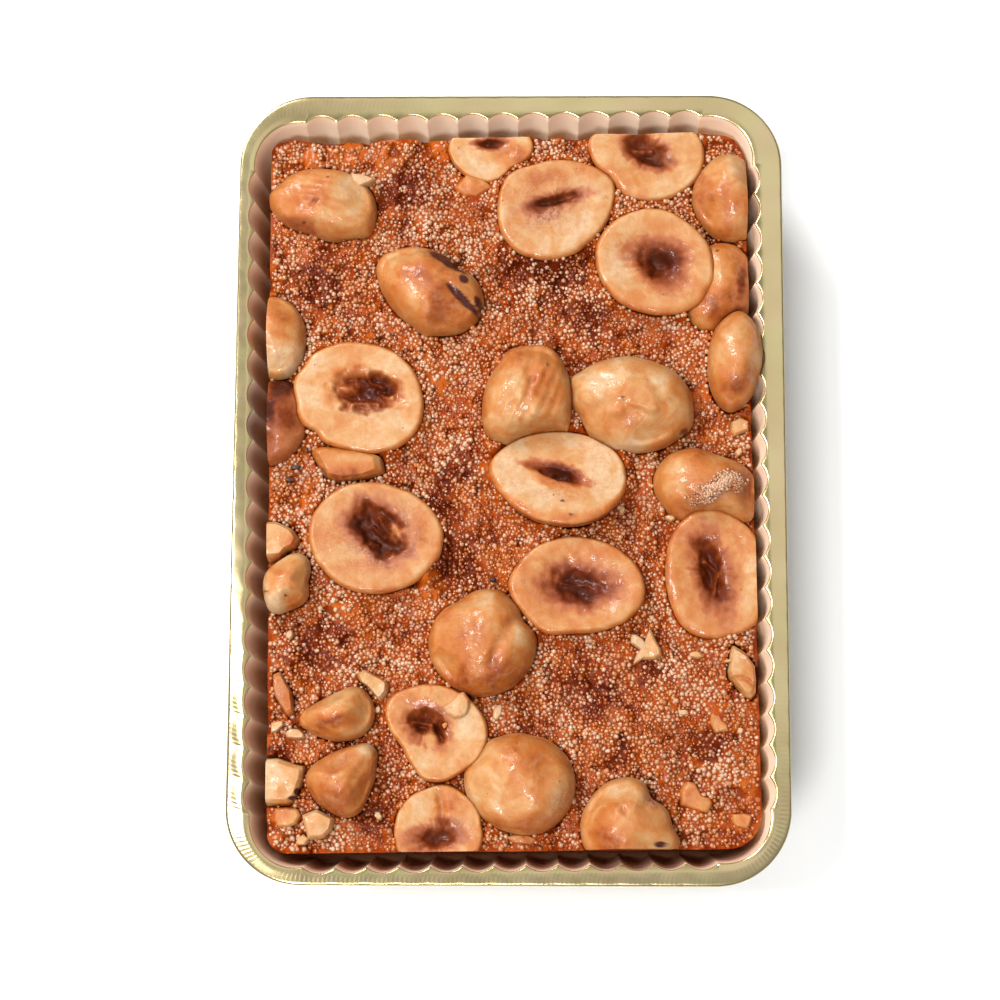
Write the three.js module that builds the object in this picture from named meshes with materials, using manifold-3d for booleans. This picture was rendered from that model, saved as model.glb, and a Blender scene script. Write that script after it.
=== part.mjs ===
// A semolina slab topped with roasted hazelnuts, in its own shallow tray of gold-coloured
// plastic film. Millimetres, +Z up. The origin is under the middle of the tray's rim, on the
// surface that the tray stands on. +X runs along a short side of the pan, +Y along a long one.
// Everything is set out from the middle of the pan, and moved to that origin at the end.
import * as THREE from "three";
import Module from "manifold-3d";
import { mergeVertices } from "three/addons/utils/BufferGeometryUtils.js";

const wasm = await Module();
wasm.setup();

// Tray: the scalloped wall is set out from the line through its cusps, at the rim.
const FLUTE_PITCH = 4.2;
const FLUTES_ACROSS = 13;
const FLUTES_ALONG = 21;
const FLUTE_DEPTH = 0.85;
const FLUTE_STEPS = 3;
const FOOT_FLUTING = 0.6;
const CORNER_RADIUS = 7.0;
const CORNER_STEPS = 7;
const CORNER_BULGE = 0.5;
const RIM_WIDTH = 3.1;
const RIM_LIP = 1.3;
const TRAY_DEPTH = 20.0;
const FILM = 0.5;
const WALL_DRAFT = 1.8;
const FOOT_ROUND = 1.2;
// The rim was trimmed a little askew of the pan inside it: sideways, lengthways and turned.
const TRIM_X = 0.35;
const TRIM_Y = 0.38;
const TRIM_TURN = -0.8;
const CUSP_HALF_X = (FLUTES_ACROSS * FLUTE_PITCH) / 2 + CORNER_RADIUS;
const CUSP_HALF_Y = (FLUTES_ALONG * FLUTE_PITCH) / 2 + CORNER_RADIUS;

// Slab: knife-cut on all four sides, a little narrower at its foot where the wall leans in.
const SLAB_MIDDLE_X = 0.5;
const SLAB_HALF_X = 32.9;
const SLAB_HALF_Y = 49.2;
const SLAB_TOP = 17.2;
const SLAB_FOOT = 0.8;
const SLAB_TAPER = 1.4;
const SLAB_FOOT_ROUND = 1.2;
const SLAB_CORNERS = [4.6, 3.4, 1.8, 2.8];
const SLAB_CORNER_STEPS = 4;
const LUMP_GRID = 3.2;
const LUMP_HEIGHT = 0.75;
const LUMP_SIZE = 5.0;
const LUMP_SEED = 3;
const CRAG_HEIGHT = 0.3;
const CRAG_SIZE = 2.6;
const CRAG_SEED = 8;
const CRUMB_MARGIN = 1;
const TOUCH_GAP = 0.3;
// How far the cutting blocks reach above what they cut.
const ROOM_OVER_CRUMB = 4;
const ROOM_OVER_NUTS = 12;
const ROOM_OVER_RIM = 10;
const ROOM_CORNER_STEPS = 2;

// Nuts: a kernel's blunt point and its wobble, as a share of its radius.
const NUT_STEPS = 13;
const TIP_WIDTH = 0.38;
const WOBBLE_LOBES = 3;
const WOBBLE_TURN = 1.7;
// A back's foot, as a share of its outline, and how full its dome is.
const DOME_RINGS = 3;
const DOME_FOOT = 0.9;
const DOME_FULLNESS = 0.85;
// A half's underside and its cut face: each ring's share of the outline, and its depth.
const BOWL_FOOT = 0.68;
const BOWL_FOOT_DEPTH = 0.78;
const EDGE_DROP = 0.9;
const FACE_SHARE = 0.93;
const HOLLOW_BROW = 0.46;
const HOLLOW_BROW_DEPTH = 0.35;
const HOLLOW_FLOOR = 0.2;
// A broken piece, from its foot to its crown, and how jagged its corners are.
const SHARD_FOOT = 1.15;
const SHARD_CROWN = 0.6;
const SHARD_BROW_HEIGHT = 0.6;
const JAG_LEAST = 0.78;
const JAG_RANGE = 0.3;
// A half's pocket narrows to this share at its foot, and every pocket is cut this far up.
const POCKET_FOOT = 0.8;
const CUT_ROOM = 1;
// Vertices closer than this are one.
const MERGE_DISTANCE = 1e-4;
// Large odd numbers that scatter the bits of a whole number, and the largest of 32 bits.
const SCATTER = [374761393, 668265263, 1274126177];
const LARGEST = 4294967295;

const slabMaterial = new THREE.MeshStandardMaterial({
  color: 0xb5652c,
  roughness: 0.35,
});
const trayMaterial = new THREE.MeshStandardMaterial({
  color: 0xd8c07a,
  roughness: 0.25,
  metalness: 0.9,
});
const nutMaterial = new THREE.MeshStandardMaterial({
  color: 0xe6a868,
  roughness: 0.35,
});
const toastedMaterial = new THREE.MeshStandardMaterial({
  color: 0x7a3a20,
  roughness: 0.4,
});

const degrees = (angle) => (angle * Math.PI) / 180;
const ease = (t) => t * t * (3 - 2 * t);

// Three whole numbers turned into a value from 0 to 1, evenly spread and the same on every
// run.
function latticeValue(i, j, seed) {
  let h =
    Math.imul(i, SCATTER[0]) +
    Math.imul(j, SCATTER[1]) +
    Math.imul(seed, SCATTER[2]);
  h = Math.imul(h ^ (h >>> 13), SCATTER[2]);
  return ((h ^ (h >>> 16)) >>> 0) / LARGEST;
}

// Smooth noise from -1 to 1 over a square lattice of the given size.
function noise(x, y, size, seed) {
  const i = Math.floor(x / size);
  const j = Math.floor(y / size);
  const u = ease(x / size - i);
  const v = ease(y / size - j);
  const low =
    latticeValue(i, j, seed) * (1 - u) + latticeValue(i + 1, j, seed) * u;
  const high =
    latticeValue(i, j + 1, seed) * (1 - u) +
    latticeValue(i + 1, j + 1, seed) * u;
  return 2 * (low * (1 - v) + high * v) - 1;
}

// The slab's crumbly top: lumps of grain with smaller crags on them.
function slabHeight(x, y) {
  const lumps = LUMP_HEIGHT * noise(x, y, LUMP_SIZE, LUMP_SEED);
  const crags = CRAG_HEIGHT * noise(x, y, CRAG_SIZE, CRAG_SEED);
  return SLAB_TOP + lumps + crags;
}

// A closed outline of a rounded rectangle, with the same number of points for any size.
// Straight sides carry flutes that swell outwards by `swell` between their cusps.
function trayOutline(outset, swell, cornerSwell) {
  const points = [];
  const halfX = (FLUTES_ACROSS * FLUTE_PITCH) / 2;
  const halfY = (FLUTES_ALONG * FLUTE_PITCH) / 2;
  const sides = [
    { middle: [halfX, 0], along: [0, 1], count: FLUTES_ALONG },
    { middle: [0, halfY], along: [-1, 0], count: FLUTES_ACROSS },
    { middle: [-halfX, 0], along: [0, -1], count: FLUTES_ALONG },
    { middle: [0, -halfY], along: [1, 0], count: FLUTES_ACROSS },
  ];
  const reach = CORNER_RADIUS + outset;
  sides.forEach(({ middle, along, count }) => {
    const out = [along[1], -along[0]];
    const steps = count * FLUTE_STEPS;
    for (let k = 0; k < steps; k++) {
      const t = (k % FLUTE_STEPS) / FLUTE_STEPS;
      const s = (k / FLUTE_STEPS - count / 2) * FLUTE_PITCH;
      const bulge = swell * (1 - (2 * t - 1) ** 2);
      points.push([
        middle[0] + along[0] * s + out[0] * (reach + bulge),
        middle[1] + along[1] * s + out[1] * (reach + bulge),
      ]);
    }
    const end = (count / 2) * FLUTE_PITCH;
    const centre = [middle[0] + along[0] * end, middle[1] + along[1] * end];
    for (let k = 0; k < CORNER_STEPS; k++) {
      const turn = (k / CORNER_STEPS) * (Math.PI / 2);
      const bulge = cornerSwell * Math.sin(2 * turn);
      const radius = reach + bulge;
      points.push([
        centre[0] +
          radius * (out[0] * Math.cos(turn) + along[0] * Math.sin(turn)),
        centre[1] +
          radius * (out[1] * Math.cos(turn) + along[1] * Math.sin(turn)),
      ]);
    }
  });
  return points;
}

// Joins rings of equal point count, each {outline, z}, into one closed surface, where z is one
// height or a height for each point. A fan round its tip closes either end.
function loft(rings, firstTip, lastTip) {
  const count = rings[0].outline.length;
  const position = [];
  rings.forEach(({ outline, z }) =>
    outline.forEach(([x, y], k) => position.push(x, y, z[k] ?? z)),
  );
  const index = [];
  for (let r = 0; r + 1 < rings.length; r++)
    for (let k = 0; k < count; k++) {
      const a = r * count + k;
      const b = r * count + ((k + 1) % count);
      index.push(a, b, b + count, a, b + count, a + count);
    }
  const first = position.length / 3;
  const last = (rings.length - 1) * count;
  position.push(...firstTip, ...lastTip);
  for (let k = 0; k < count; k++) {
    const next = (k + 1) % count;
    index.push(first, next, k);
    index.push(first + 1, last + k, last + next);
  }
  const geometry = new THREE.BufferGeometry();
  geometry.setAttribute(
    "position",
    new THREE.Float32BufferAttribute(position, 3),
  );
  geometry.setIndex(index);
  return geometry;
}

// The rim's outline: that of the pan, wider by the rim and askew of it.
function rimOutline(width) {
  const turn = degrees(TRIM_TURN);
  return trayOutline(width, 0, 0).map(([x, y]) => [
    TRIM_X + x * Math.cos(turn) - y * Math.sin(turn),
    TRIM_Y + x * Math.sin(turn) + y * Math.cos(turn),
  ]);
}

// The tray is one film: from the underside up the outside, over the rim and down the inside.
function trayGeometry() {
  const foot = -WALL_DRAFT;
  const flutes = FLUTE_DEPTH;
  const under = TRAY_DEPTH - FILM;
  const ring = (outset, swell, z) => ({
    outline: trayOutline(
      outset,
      swell,
      swell ? (CORNER_BULGE * swell) / flutes : 0,
    ),
    z,
  });
  const inner = rimOutline(RIM_WIDTH - FILM);
  const outer = rimOutline(RIM_WIDTH);
  const rings = [
    ring(foot - FOOT_ROUND + FILM / 2, flutes * FOOT_FLUTING, 0),
    ring(foot + FILM, flutes, FOOT_ROUND),
    ring(FILM, flutes, under),
    { outline: inner, z: under },
    { outline: inner, z: TRAY_DEPTH - RIM_LIP },
    { outline: outer, z: TRAY_DEPTH - RIM_LIP },
    { outline: outer, z: TRAY_DEPTH },
    ring(0, flutes, TRAY_DEPTH),
    ring(foot, flutes, FILM + FOOT_ROUND),
    ring(foot - FOOT_ROUND, flutes * FOOT_FLUTING, FILM),
  ];
  return loft(rings, [0, 0, 0], [0, 0, FILM]);
}

// A closed geometry as a solid that can be cut and joined.
function solidOf(geometry) {
  const bare = geometry.index ? geometry.toNonIndexed() : geometry.clone();
  bare.deleteAttribute("normal");
  bare.deleteAttribute("uv");
  const merged = mergeVertices(bare, MERGE_DISTANCE);
  const solid = new wasm.Manifold(
    new wasm.Mesh({
      numProp: 3,
      vertProperties: merged.attributes.position.array,
      triVerts: new Uint32Array(merged.index.array),
    }),
  );
  if (solid.volume() < 0) throw new Error("a solid is inside out");
  return solid;
}

// A solid's faces as a geometry again.
function geometryOf(solid) {
  const mesh = solid.getMesh();
  const geometry = new THREE.BufferGeometry();
  const stride = mesh.numProp;
  const position = new Float32Array(mesh.numVert * 3);
  for (let i = 0; i < mesh.numVert; i++)
    position.set(mesh.vertProperties.subarray(i * stride, i * stride + 3), i * 3);
  geometry.setAttribute("position", new THREE.BufferAttribute(position, 3));
  geometry.setIndex(new THREE.BufferAttribute(mesh.triVerts, 1));
  return geometry;
}

// The largest piece of a solid, so that a scrap left by a cut is dropped.
function largestPiece(solid) {
  const pieces = solid.decompose();
  return pieces.reduce((best, piece) =>
    piece.volume() > best.volume() ? piece : best,
  );
}

// A rounded rectangle, its radii from the near right corner round to the near left one.
function roundedRectangle(middleX, halfX, halfY, radii, steps) {
  const points = [];
  const corners = [
    [1, -1, -90],
    [1, 1, 0],
    [-1, 1, 90],
    [-1, -1, 180],
  ];
  corners.forEach(([sx, sy, start], corner) => {
    const radius = radii[corner];
    for (let k = 0; k <= steps; k++) {
      const turn = degrees(start + (90 * k) / steps);
      points.push([
        middleX + sx * (halfX - radius) + radius * Math.cos(turn),
        sy * (halfY - radius) + radius * Math.sin(turn),
      ]);
    }
  });
  return points;
}

// The block that the knife cut out, up to a height above everything that stands on it.
function knifeBlock(top) {
  const slope = SLAB_TAPER / (SLAB_TOP - SLAB_FOOT);
  const ring = (z) => {
    const round = Math.max(0, SLAB_FOOT + SLAB_FOOT_ROUND - z);
    const inset = Math.max(0, (SLAB_TOP - z) * slope) + round;
    return {
      outline: roundedRectangle(
        SLAB_MIDDLE_X,
        SLAB_HALF_X - inset,
        SLAB_HALF_Y - inset,
        SLAB_CORNERS,
        SLAB_CORNER_STEPS,
      ),
      z,
    };
  };
  const levels = [SLAB_FOOT, SLAB_FOOT + SLAB_FOOT_ROUND, SLAB_TOP, top];
  return solidOf(
    loft(levels.map(ring), [SLAB_MIDDLE_X, 0, SLAB_FOOT], [SLAB_MIDDLE_X, 0, top]),
  );
}

// The room a nut may fill: inside the tray's wall, and over the rim as well above it.
function roomBlock() {
  const clear = CUSP_HALF_X - TOUCH_GAP;
  const long = CUSP_HALF_Y - TOUCH_GAP;
  const over = RIM_WIDTH - TOUCH_GAP;
  const radii = new Array(4).fill(CORNER_RADIUS);
  const ring = (outset, z) => ({
    outline: roundedRectangle(0, clear + outset, long + outset, radii, ROOM_CORNER_STEPS),
    z,
  });
  const step = TRAY_DEPTH + TOUCH_GAP;
  const rings = [
    ring(-WALL_DRAFT, SLAB_FOOT),
    ring(0, step),
    ring(over, step),
    ring(over, step + ROOM_OVER_RIM),
  ];
  return solidOf(loft(rings, [0, 0, SLAB_FOOT], [0, 0, step + ROOM_OVER_RIM]));
}

// A block wider than the slab whose top is the crumbly surface.
function crumbBlock() {
  const nx = Math.ceil((2 * (SLAB_HALF_X + CRUMB_MARGIN)) / LUMP_GRID);
  const ny = Math.ceil((2 * (SLAB_HALF_Y + CRUMB_MARGIN)) / LUMP_GRID);
  const position = [];
  const index = [];
  const at = (i, j) => j * (nx + 1) + i;
  for (let j = 0; j <= ny; j++)
    for (let i = 0; i <= nx; i++) {
      const x = SLAB_MIDDLE_X + (i - nx / 2) * LUMP_GRID;
      const y = (j - ny / 2) * LUMP_GRID;
      position.push(x, y, slabHeight(x, y));
    }
  for (let j = 0; j < ny; j++)
    for (let i = 0; i < nx; i++) {
      const [a, b] = [at(i, j), at(i + 1, j)];
      const [c, d] = [at(i + 1, j + 1), at(i, j + 1)];
      if ((i + j) % 2) index.push(a, b, c, a, c, d);
      else index.push(a, b, d, b, c, d);
    }
  const edge = [];
  for (let i = 0; i < nx; i++) edge.push(at(i, 0));
  for (let j = 0; j < ny; j++) edge.push(at(nx, j));
  for (let i = nx; i > 0; i--) edge.push(at(i, ny));
  for (let j = ny; j > 0; j--) edge.push(at(0, j));
  const base = position.length / 3;
  edge.forEach((v) => position.push(position[3 * v], position[3 * v + 1], 0));
  const middle = position.length / 3;
  position.push(SLAB_MIDDLE_X, 0, 0);
  edge.forEach((v, k) => {
    const next = (k + 1) % edge.length;
    index.push(v, base + next, edge[next], v, base + k, base + next);
    index.push(middle, base + next, base + k);
  });
  const geometry = new THREE.BufferGeometry();
  geometry.setAttribute(
    "position",
    new THREE.Float32BufferAttribute(position, 3),
  );
  geometry.setIndex(index);
  return solidOf(geometry);
}

// The outline of a kernel seen from above: an oval with a blunt point at its +X end and a
// wobble of its own. `scale` shrinks it towards its middle.
function kernelOutline(nut, grow, scale) {
  const points = [];
  for (let k = 0; k < NUT_STEPS; k++) {
    const turn = (2 * Math.PI * k) / NUT_STEPS;
    const fromTip = Math.atan2(Math.sin(turn), Math.cos(turn));
    const tip = 1 + nut.point * Math.exp(-((fromTip / TIP_WIDTH) ** 2));
    const wave = Math.sin(WOBBLE_LOBES * turn + nut.seed * WOBBLE_TURN);
    const radius = tip * (1 + nut.uneven * wave);
    points.push([
      (nut.length / 2 + grow) * radius * scale * Math.cos(turn),
      (nut.width / 2 + grow) * radius * scale * Math.sin(turn),
    ]);
  }
  return points;
}

// Half a kernel lying on its cut face, its rounded back up.
function domeGeometry(nut, grow) {
  const rings = [];
  const top = nut.height + grow;
  const base = -nut.sunk - grow;
  rings.push({ outline: kernelOutline(nut, grow, DOME_FOOT), z: base });
  for (let r = 0; r <= DOME_RINGS; r++) {
    const t = r / (DOME_RINGS + 1);
    const scale = Math.cos((t * Math.PI) / 2) ** DOME_FULLNESS;
    const z = top * Math.sin((t * Math.PI) / 2);
    rings.push({ outline: kernelOutline(nut, grow, scale), z });
  }
  return loft(rings, [0, 0, base], [0, 0, top]);
}

// Half a kernel lying on its back: a flat cut face with rounded edge, and in its middle the
// hollow that every roasted hazelnut has. `grow` above zero makes the plain envelope.
function bowlGeometry(nut, grow) {
  const bottom = [0, 0, -nut.height - grow];
  const rings = [
    { outline: kernelOutline(nut, grow, BOWL_FOOT), z: BOWL_FOOT_DEPTH * bottom[2] },
    { outline: kernelOutline(nut, grow, 1), z: grow - EDGE_DROP },
  ];
  if (grow > 0) {
    rings.push({ outline: kernelOutline(nut, grow, 1), z: grow + CUT_ROOM });
    return loft(rings, bottom, [0, 0, grow + CUT_ROOM]);
  }
  rings.push({ outline: kernelOutline(nut, grow, FACE_SHARE), z: 0 });
  rings.push({ outline: kernelOutline(nut, grow, HOLLOW_BROW), z: -HOLLOW_BROW_DEPTH });
  rings.push({ outline: kernelOutline(nut, grow, HOLLOW_FLOOR), z: -nut.hollow });
  return loft(rings, bottom, [0, 0, -nut.hollow]);
}

// The outline of a broken piece: corners evenly round it, some further out than others.
function shardOutline(nut, grow, scale) {
  const points = [];
  for (let k = 0; k < nut.corners; k++) {
    const turn = (2 * Math.PI * (k + 0.5)) / nut.corners;
    const jag = JAG_LEAST + JAG_RANGE * latticeValue(k, nut.seed, 1);
    points.push([
      (nut.length / 2 + grow) * scale * jag * Math.cos(turn),
      (nut.width / 2 + grow) * scale * jag * Math.sin(turn),
    ]);
  }
  return points;
}

// The outline that a nut's pocket takes, at the widest part of the nut.
function pocketOutline(nut, grow, scale) {
  return nut.shape === "shard"
    ? shardOutline(nut, grow, SHARD_FOOT * scale)
    : kernelOutline(nut, grow, scale);
}

// A broken piece: a many-sided block with a smaller, sloping top.
function shardGeometry(nut, grow) {
  const sloped = (points, z) => points.map(([x]) => z + grow + nut.slope * x);
  const wide = shardOutline(nut, grow, SHARD_FOOT);
  const brow = shardOutline(nut, grow, 1);
  const crown = shardOutline(nut, grow, SHARD_CROWN);
  const base = -nut.sunk - grow;
  const rings = [
    { outline: wide, z: base },
    { outline: brow, z: sloped(brow, nut.height * SHARD_BROW_HEIGHT) },
    { outline: crown, z: sloped(crown, nut.height) },
  ];
  return loft(rings, [0, 0, base], [0, 0, nut.height + grow]);
}

// The pocket a nut sits in: one straight-sided pit, narrower below a nut that lies on its back.
function pocketGeometry(nut, grow) {
  const onBack = nut.shape === "bowl";
  const base = onBack ? -nut.height - grow : -nut.sunk - grow;
  const foot = onBack ? POCKET_FOOT : 1;
  const top = nut.height + CUT_ROOM;
  const rings = [
    { outline: pocketOutline(nut, grow, foot), z: base },
    { outline: pocketOutline(nut, grow, 1), z: 0 },
    { outline: pocketOutline(nut, grow, 1), z: top },
  ];
  return loft(rings, [0, 0, base], [0, 0, top]);
}

const SHAPES = {
  dome: domeGeometry,
  bowl: bowlGeometry,
  shard: shardGeometry,
};

// What a nut is unless its own line says otherwise: how far its tip and its unevenness stand
// out, how deep a back is sunk, how deep the hollow goes, and a broken piece's corners.
const USUAL = {
  point: 0.06,
  uneven: 0.02,
  sunk: 1.6,
  hollow: 2.2,
  corners: 6,
  slope: 0,
  lean: 0,
};

// Sets a nut in the slab: `rise` is the height of its widest outline above the slab, `turn`
// points its tip, and a negative `lean` tips its face away from the near side.
function nutSolid(given, grow, form) {
  const nut = { ...USUAL, ...given };
  const turned = new THREE.Matrix4().makeRotationZ(degrees(nut.turn));
  const tipped = new THREE.Matrix4().makeRotationX(degrees(nut.lean));
  const shift = new THREE.Matrix4().makeTranslation(
    nut.x,
    nut.y,
    SLAB_TOP + nut.rise,
  );
  const place = shift.multiply(tipped).multiply(turned);
  const shape = form ?? SHAPES[nut.shape];
  return solidOf(shape(nut, grow).applyMatrix4(place));
}

// The kernels and broken pieces, those lying uppermost first. Sizes are the whole kernel's:
// what the knife cut away at the slab's sides is taken off afterwards.
const NUTS = [
  { name: "nut_half_a", shape: "bowl", x: 7.1, y: 38.6,
    length: 16.4, width: 13.8, height: 6.2, rise: 2.2, turn: 25 },
  { name: "nut_half_b", shape: "bowl", x: 20.0, y: 46.2,
    length: 15.8, width: 13.2, height: 6.0, rise: 1.7, turn: 168 },
  { name: "nut_half_c", shape: "bowl", x: 20.6, y: 30.4,
    length: 16.6, width: 14.6, height: 6.4, rise: 3.2, turn: 150, point: 0.02 },
  { name: "nut_half_d", shape: "bowl", x: -19.8, y: 12.0,
    length: 17.8, width: 15.3, height: 6.6, rise: 2.3, turn: 170, point: 0.02, uneven: 0.035 },
  { name: "nut_half_e", shape: "bowl", x: 7.3, y: 1.1,
    length: 18.2, width: 14.2, height: 5.6, rise: 2.6, turn: 170, lean: -20 },
  { name: "nut_half_f", shape: "bowl", x: -17.8, y: -7.1,
    length: 18.2, width: 15.2, height: 6.6, rise: 2.3, turn: 172, point: 0.01 },
  { name: "nut_half_g", shape: "bowl", x: 9.5, y: -14.0,
    length: 18.0, width: 13.2, height: 6.2, rise: 2.2, turn: 176 },
  { name: "nut_half_h", shape: "bowl", x: 28.4, y: -12.8,
    length: 17.3, width: 13.8, height: 6.2, rise: 2.2, turn: 98, point: 0.03 },
  { name: "nut_half_i", shape: "bowl", x: -9.7, y: -33.5,
    length: 13.6, width: 12.8, height: 5.6, rise: 2.3, turn: 148, point: 0.12, uneven: 0.03 },
  { name: "nut_half_j", shape: "bowl", x: -9.6, y: -46.3,
    length: 13.0, width: 12.0, height: 5.4, rise: 1.5, turn: 80, point: 0.1 },
  { name: "nut_half_k", shape: "bowl", x: -1.8, y: 47.6,
    length: 11.6, width: 9.4, height: 5.0, rise: 0.9, turn: 0 },
  { name: "nut_back_a", shape: "dome", x: -24.9, y: 39.9,
    length: 14.8, width: 10.2, height: 5.2, rise: 0.0, turn: 170 },
  { name: "nut_back_b", shape: "dome", x: 31.1, y: 39.8,
    length: 12.2, width: 10.0, height: 5.4, rise: 0.0, turn: 95 },
  { name: "nut_back_c", shape: "dome", x: 31.3, y: 16.5,
    length: 13.6, width: 7.6, height: 5.6, rise: 1.2, turn: 84, sunk: 2.4 },
  { name: "nut_back_d", shape: "dome", x: 29.4, y: 27.2,
    length: 12.8, width: 10.4, height: 4.6, rise: -0.6, turn: 72 },
  { name: "nut_back_e", shape: "dome", x: -10.1, y: 27.2,
    length: 15.6, width: 10.8, height: 6.0, rise: 0.2, turn: 150, point: 0.08 },
  { name: "nut_back_f", shape: "dome", x: -31.6, y: 20.9,
    length: 11.4, width: 8.8, height: 5.0, rise: 0.0, turn: 96 },
  { name: "nut_back_g", shape: "dome", x: -31.4, y: 9.2,
    length: 11.8, width: 8.6, height: 4.2, rise: -0.2, turn: 84, material: toastedMaterial },
  { name: "nut_back_h", shape: "dome", x: 3.0, y: 12.1,
    length: 14.2, width: 12.0, height: 6.6, rise: 0.3, turn: 68 },
  { name: "nut_back_i", shape: "dome", x: 17.2, y: 10.8,
    length: 16.8, width: 13.0, height: 6.6, rise: 0.4, turn: 172, point: 0.08 },
  { name: "nut_back_j", shape: "dome", x: 26.9, y: -0.5,
    length: 14.2, width: 10.8, height: 5.4, rise: 0.0, turn: 172, point: 0.02 },
  { name: "nut_back_k", shape: "dome", x: -29.8, y: -13.1,
    length: 9.0, width: 6.6, height: 4.8, rise: 0.6, turn: 72 },
  { name: "nut_back_l", shape: "dome", x: -3.4, y: -21.5,
    length: 14.6, width: 14.2, height: 6.8, rise: 0.2, turn: 110, point: 0.01 },
  { name: "nut_back_m", shape: "dome", x: -23.3, y: -30.8,
    length: 11.6, width: 7.4, height: 5.0, rise: 0.3, turn: 200, point: 0.08 },
  { name: "nut_back_n", shape: "dome", x: 1.4, y: -40.3,
    length: 15.0, width: 13.4, height: 6.6, rise: 0.2, turn: 345, point: 0.01 },
  { name: "nut_back_o", shape: "dome", x: 15.3, y: -45.9,
    length: 12.4, width: 12.0, height: 5.8, rise: 0.2, turn: 60, point: 0.02 },
  { name: "nut_piece_a", shape: "shard", x: -21.6, y: 2.8,
    length: 11.0, width: 6.2, height: 2.6, rise: 0.4, turn: 176, corners: 5, slope: 0.05 },
  { name: "nut_piece_b", shape: "shard", x: -30.7, y: -7.3,
    length: 6.6, width: 6.2, height: 2.6, rise: 0.2, turn: 40 },
  { name: "nut_piece_c", shape: "shard", x: -22.1, y: -39.8,
    length: 11.6, width: 9.8, height: 5.6, rise: 0.4, turn: 58, slope: 0.16, corners: 7 },
  { name: "nut_piece_d", shape: "shard", x: -30.2, y: -39.9,
    length: 8.0, width: 6.6, height: 1.8, rise: 0.3, turn: 75 },
  { name: "nut_piece_e", shape: "shard", x: 31.0, y: -25.9,
    length: 8.6, width: 3.9, height: 2.2, rise: 0.4, turn: 118 },
  { name: "nut_piece_f", shape: "shard", x: -30.1, y: -28.2,
    length: 7.6, width: 2.6, height: 1.8, rise: 0.4, turn: 108 },
];

// Small chips of nut, fused to what they lie on.
const CHIPS_ON_SLAB = [
  { x: -4.2, y: 42.1, length: 6.2, width: 3.6, height: 1.0, turn: 170 },
  { x: -18.2, y: -27.3, length: 4.4, width: 3.4, height: 2.2, turn: 130 },
  { x: -25.1, y: -45.5, length: 4.8, width: 4.3, height: 2.0, turn: 20 },
  { x: 18.6, y: -21.9, length: 5.6, width: 3.6, height: 0.9, turn: 60 },
  { x: 27.9, y: -32.3, length: 3.6, width: 2.5, height: 0.7, turn: 110 },
  { x: 24.8, y: -42.5, length: 4.8, width: 3.2, height: 0.7, turn: 140 },
  { x: 30.4, y: -45.3, length: 3.2, width: 2.1, height: 0.7, turn: 10 },
  { x: 1.4, y: -47.9, length: 5.0, width: 1.6, height: 0.8, turn: 175 },
  { x: -29.4, y: -44.6, length: 4.0, width: 3.0, height: 1.6, turn: 160 },
  { x: 31.8, y: 7.8, length: 3.6, width: 2.6, height: 1.2, turn: 20 },
  { x: -28.1, y: -33.6, length: 3.4, width: 1.8, height: 1.2, turn: 150 },
];
const CHIP_ON_NUT = { x: -6.9, y: -30.6, length: 4.6, width: 3.6, height: 1.0, turn: 70, rise: 2.2 };
const CHIP_HOST = "nut_half_i";
const CHIP_SEED = 41;

// A chip is a broken piece that lies a little sunk in what carries it.
function chipSolid(chip, seed) {
  return nutSolid({ shape: "shard", rise: 0.2, sunk: 1.2, seed, ...chip }, 0);
}

// Each nut is cut back from those that lie over it, and by the knife at the slab's sides.
const knife = knifeBlock(SLAB_TOP + ROOM_OVER_NUTS);
const room = roomBlock();
const OVERHANGS = ["nut_back_c", "nut_back_k"];
const nuts = NUTS.map((nut, i) => ({ seed: i + 1, ...nut }));
const envelopes = [];
const nutSolids = nuts.map((nut) => {
  let solid = nutSolid(nut, 0);
  if (nut.name === CHIP_HOST)
    solid = solid.add(chipSolid(CHIP_ON_NUT, CHIP_SEED + CHIPS_ON_SLAB.length));
  solid = solid.intersect(OVERHANGS.includes(nut.name) ? room : knife);
  envelopes.forEach((envelope) => {
    solid = solid.subtract(envelope);
  });
  envelopes.push(nutSolid(nut, TOUCH_GAP));
  return largestPiece(solid);
});

let slab = crumbBlock().intersect(knifeBlock(SLAB_TOP + ROOM_OVER_CRUMB));
CHIPS_ON_SLAB.forEach((chip, i) => {
  slab = slab.add(chipSolid(chip, CHIP_SEED + i).intersect(knife));
});
nuts.forEach((nut) => {
  slab = slab.subtract(nutSolid(nut, TOUCH_GAP, pocketGeometry));
});
slab = largestPiece(slab);

const part = new THREE.Group();

// Each mesh is set out from the middle of the pan, and moved to the part's origin.
function addMesh(name, geometry, material) {
  const mesh = new THREE.Mesh(geometry, material);
  mesh.name = name;
  mesh.position.set(-TRIM_X, -TRIM_Y, 0);
  part.add(mesh);
}

addMesh("tray", trayGeometry(), trayMaterial);
addMesh("slab", geometryOf(slab), slabMaterial);
nuts.forEach((nut, i) =>
  addMesh(nut.name, geometryOf(nutSolids[i]), nut.material ?? nutMaterial),
);

export default part;
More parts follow.
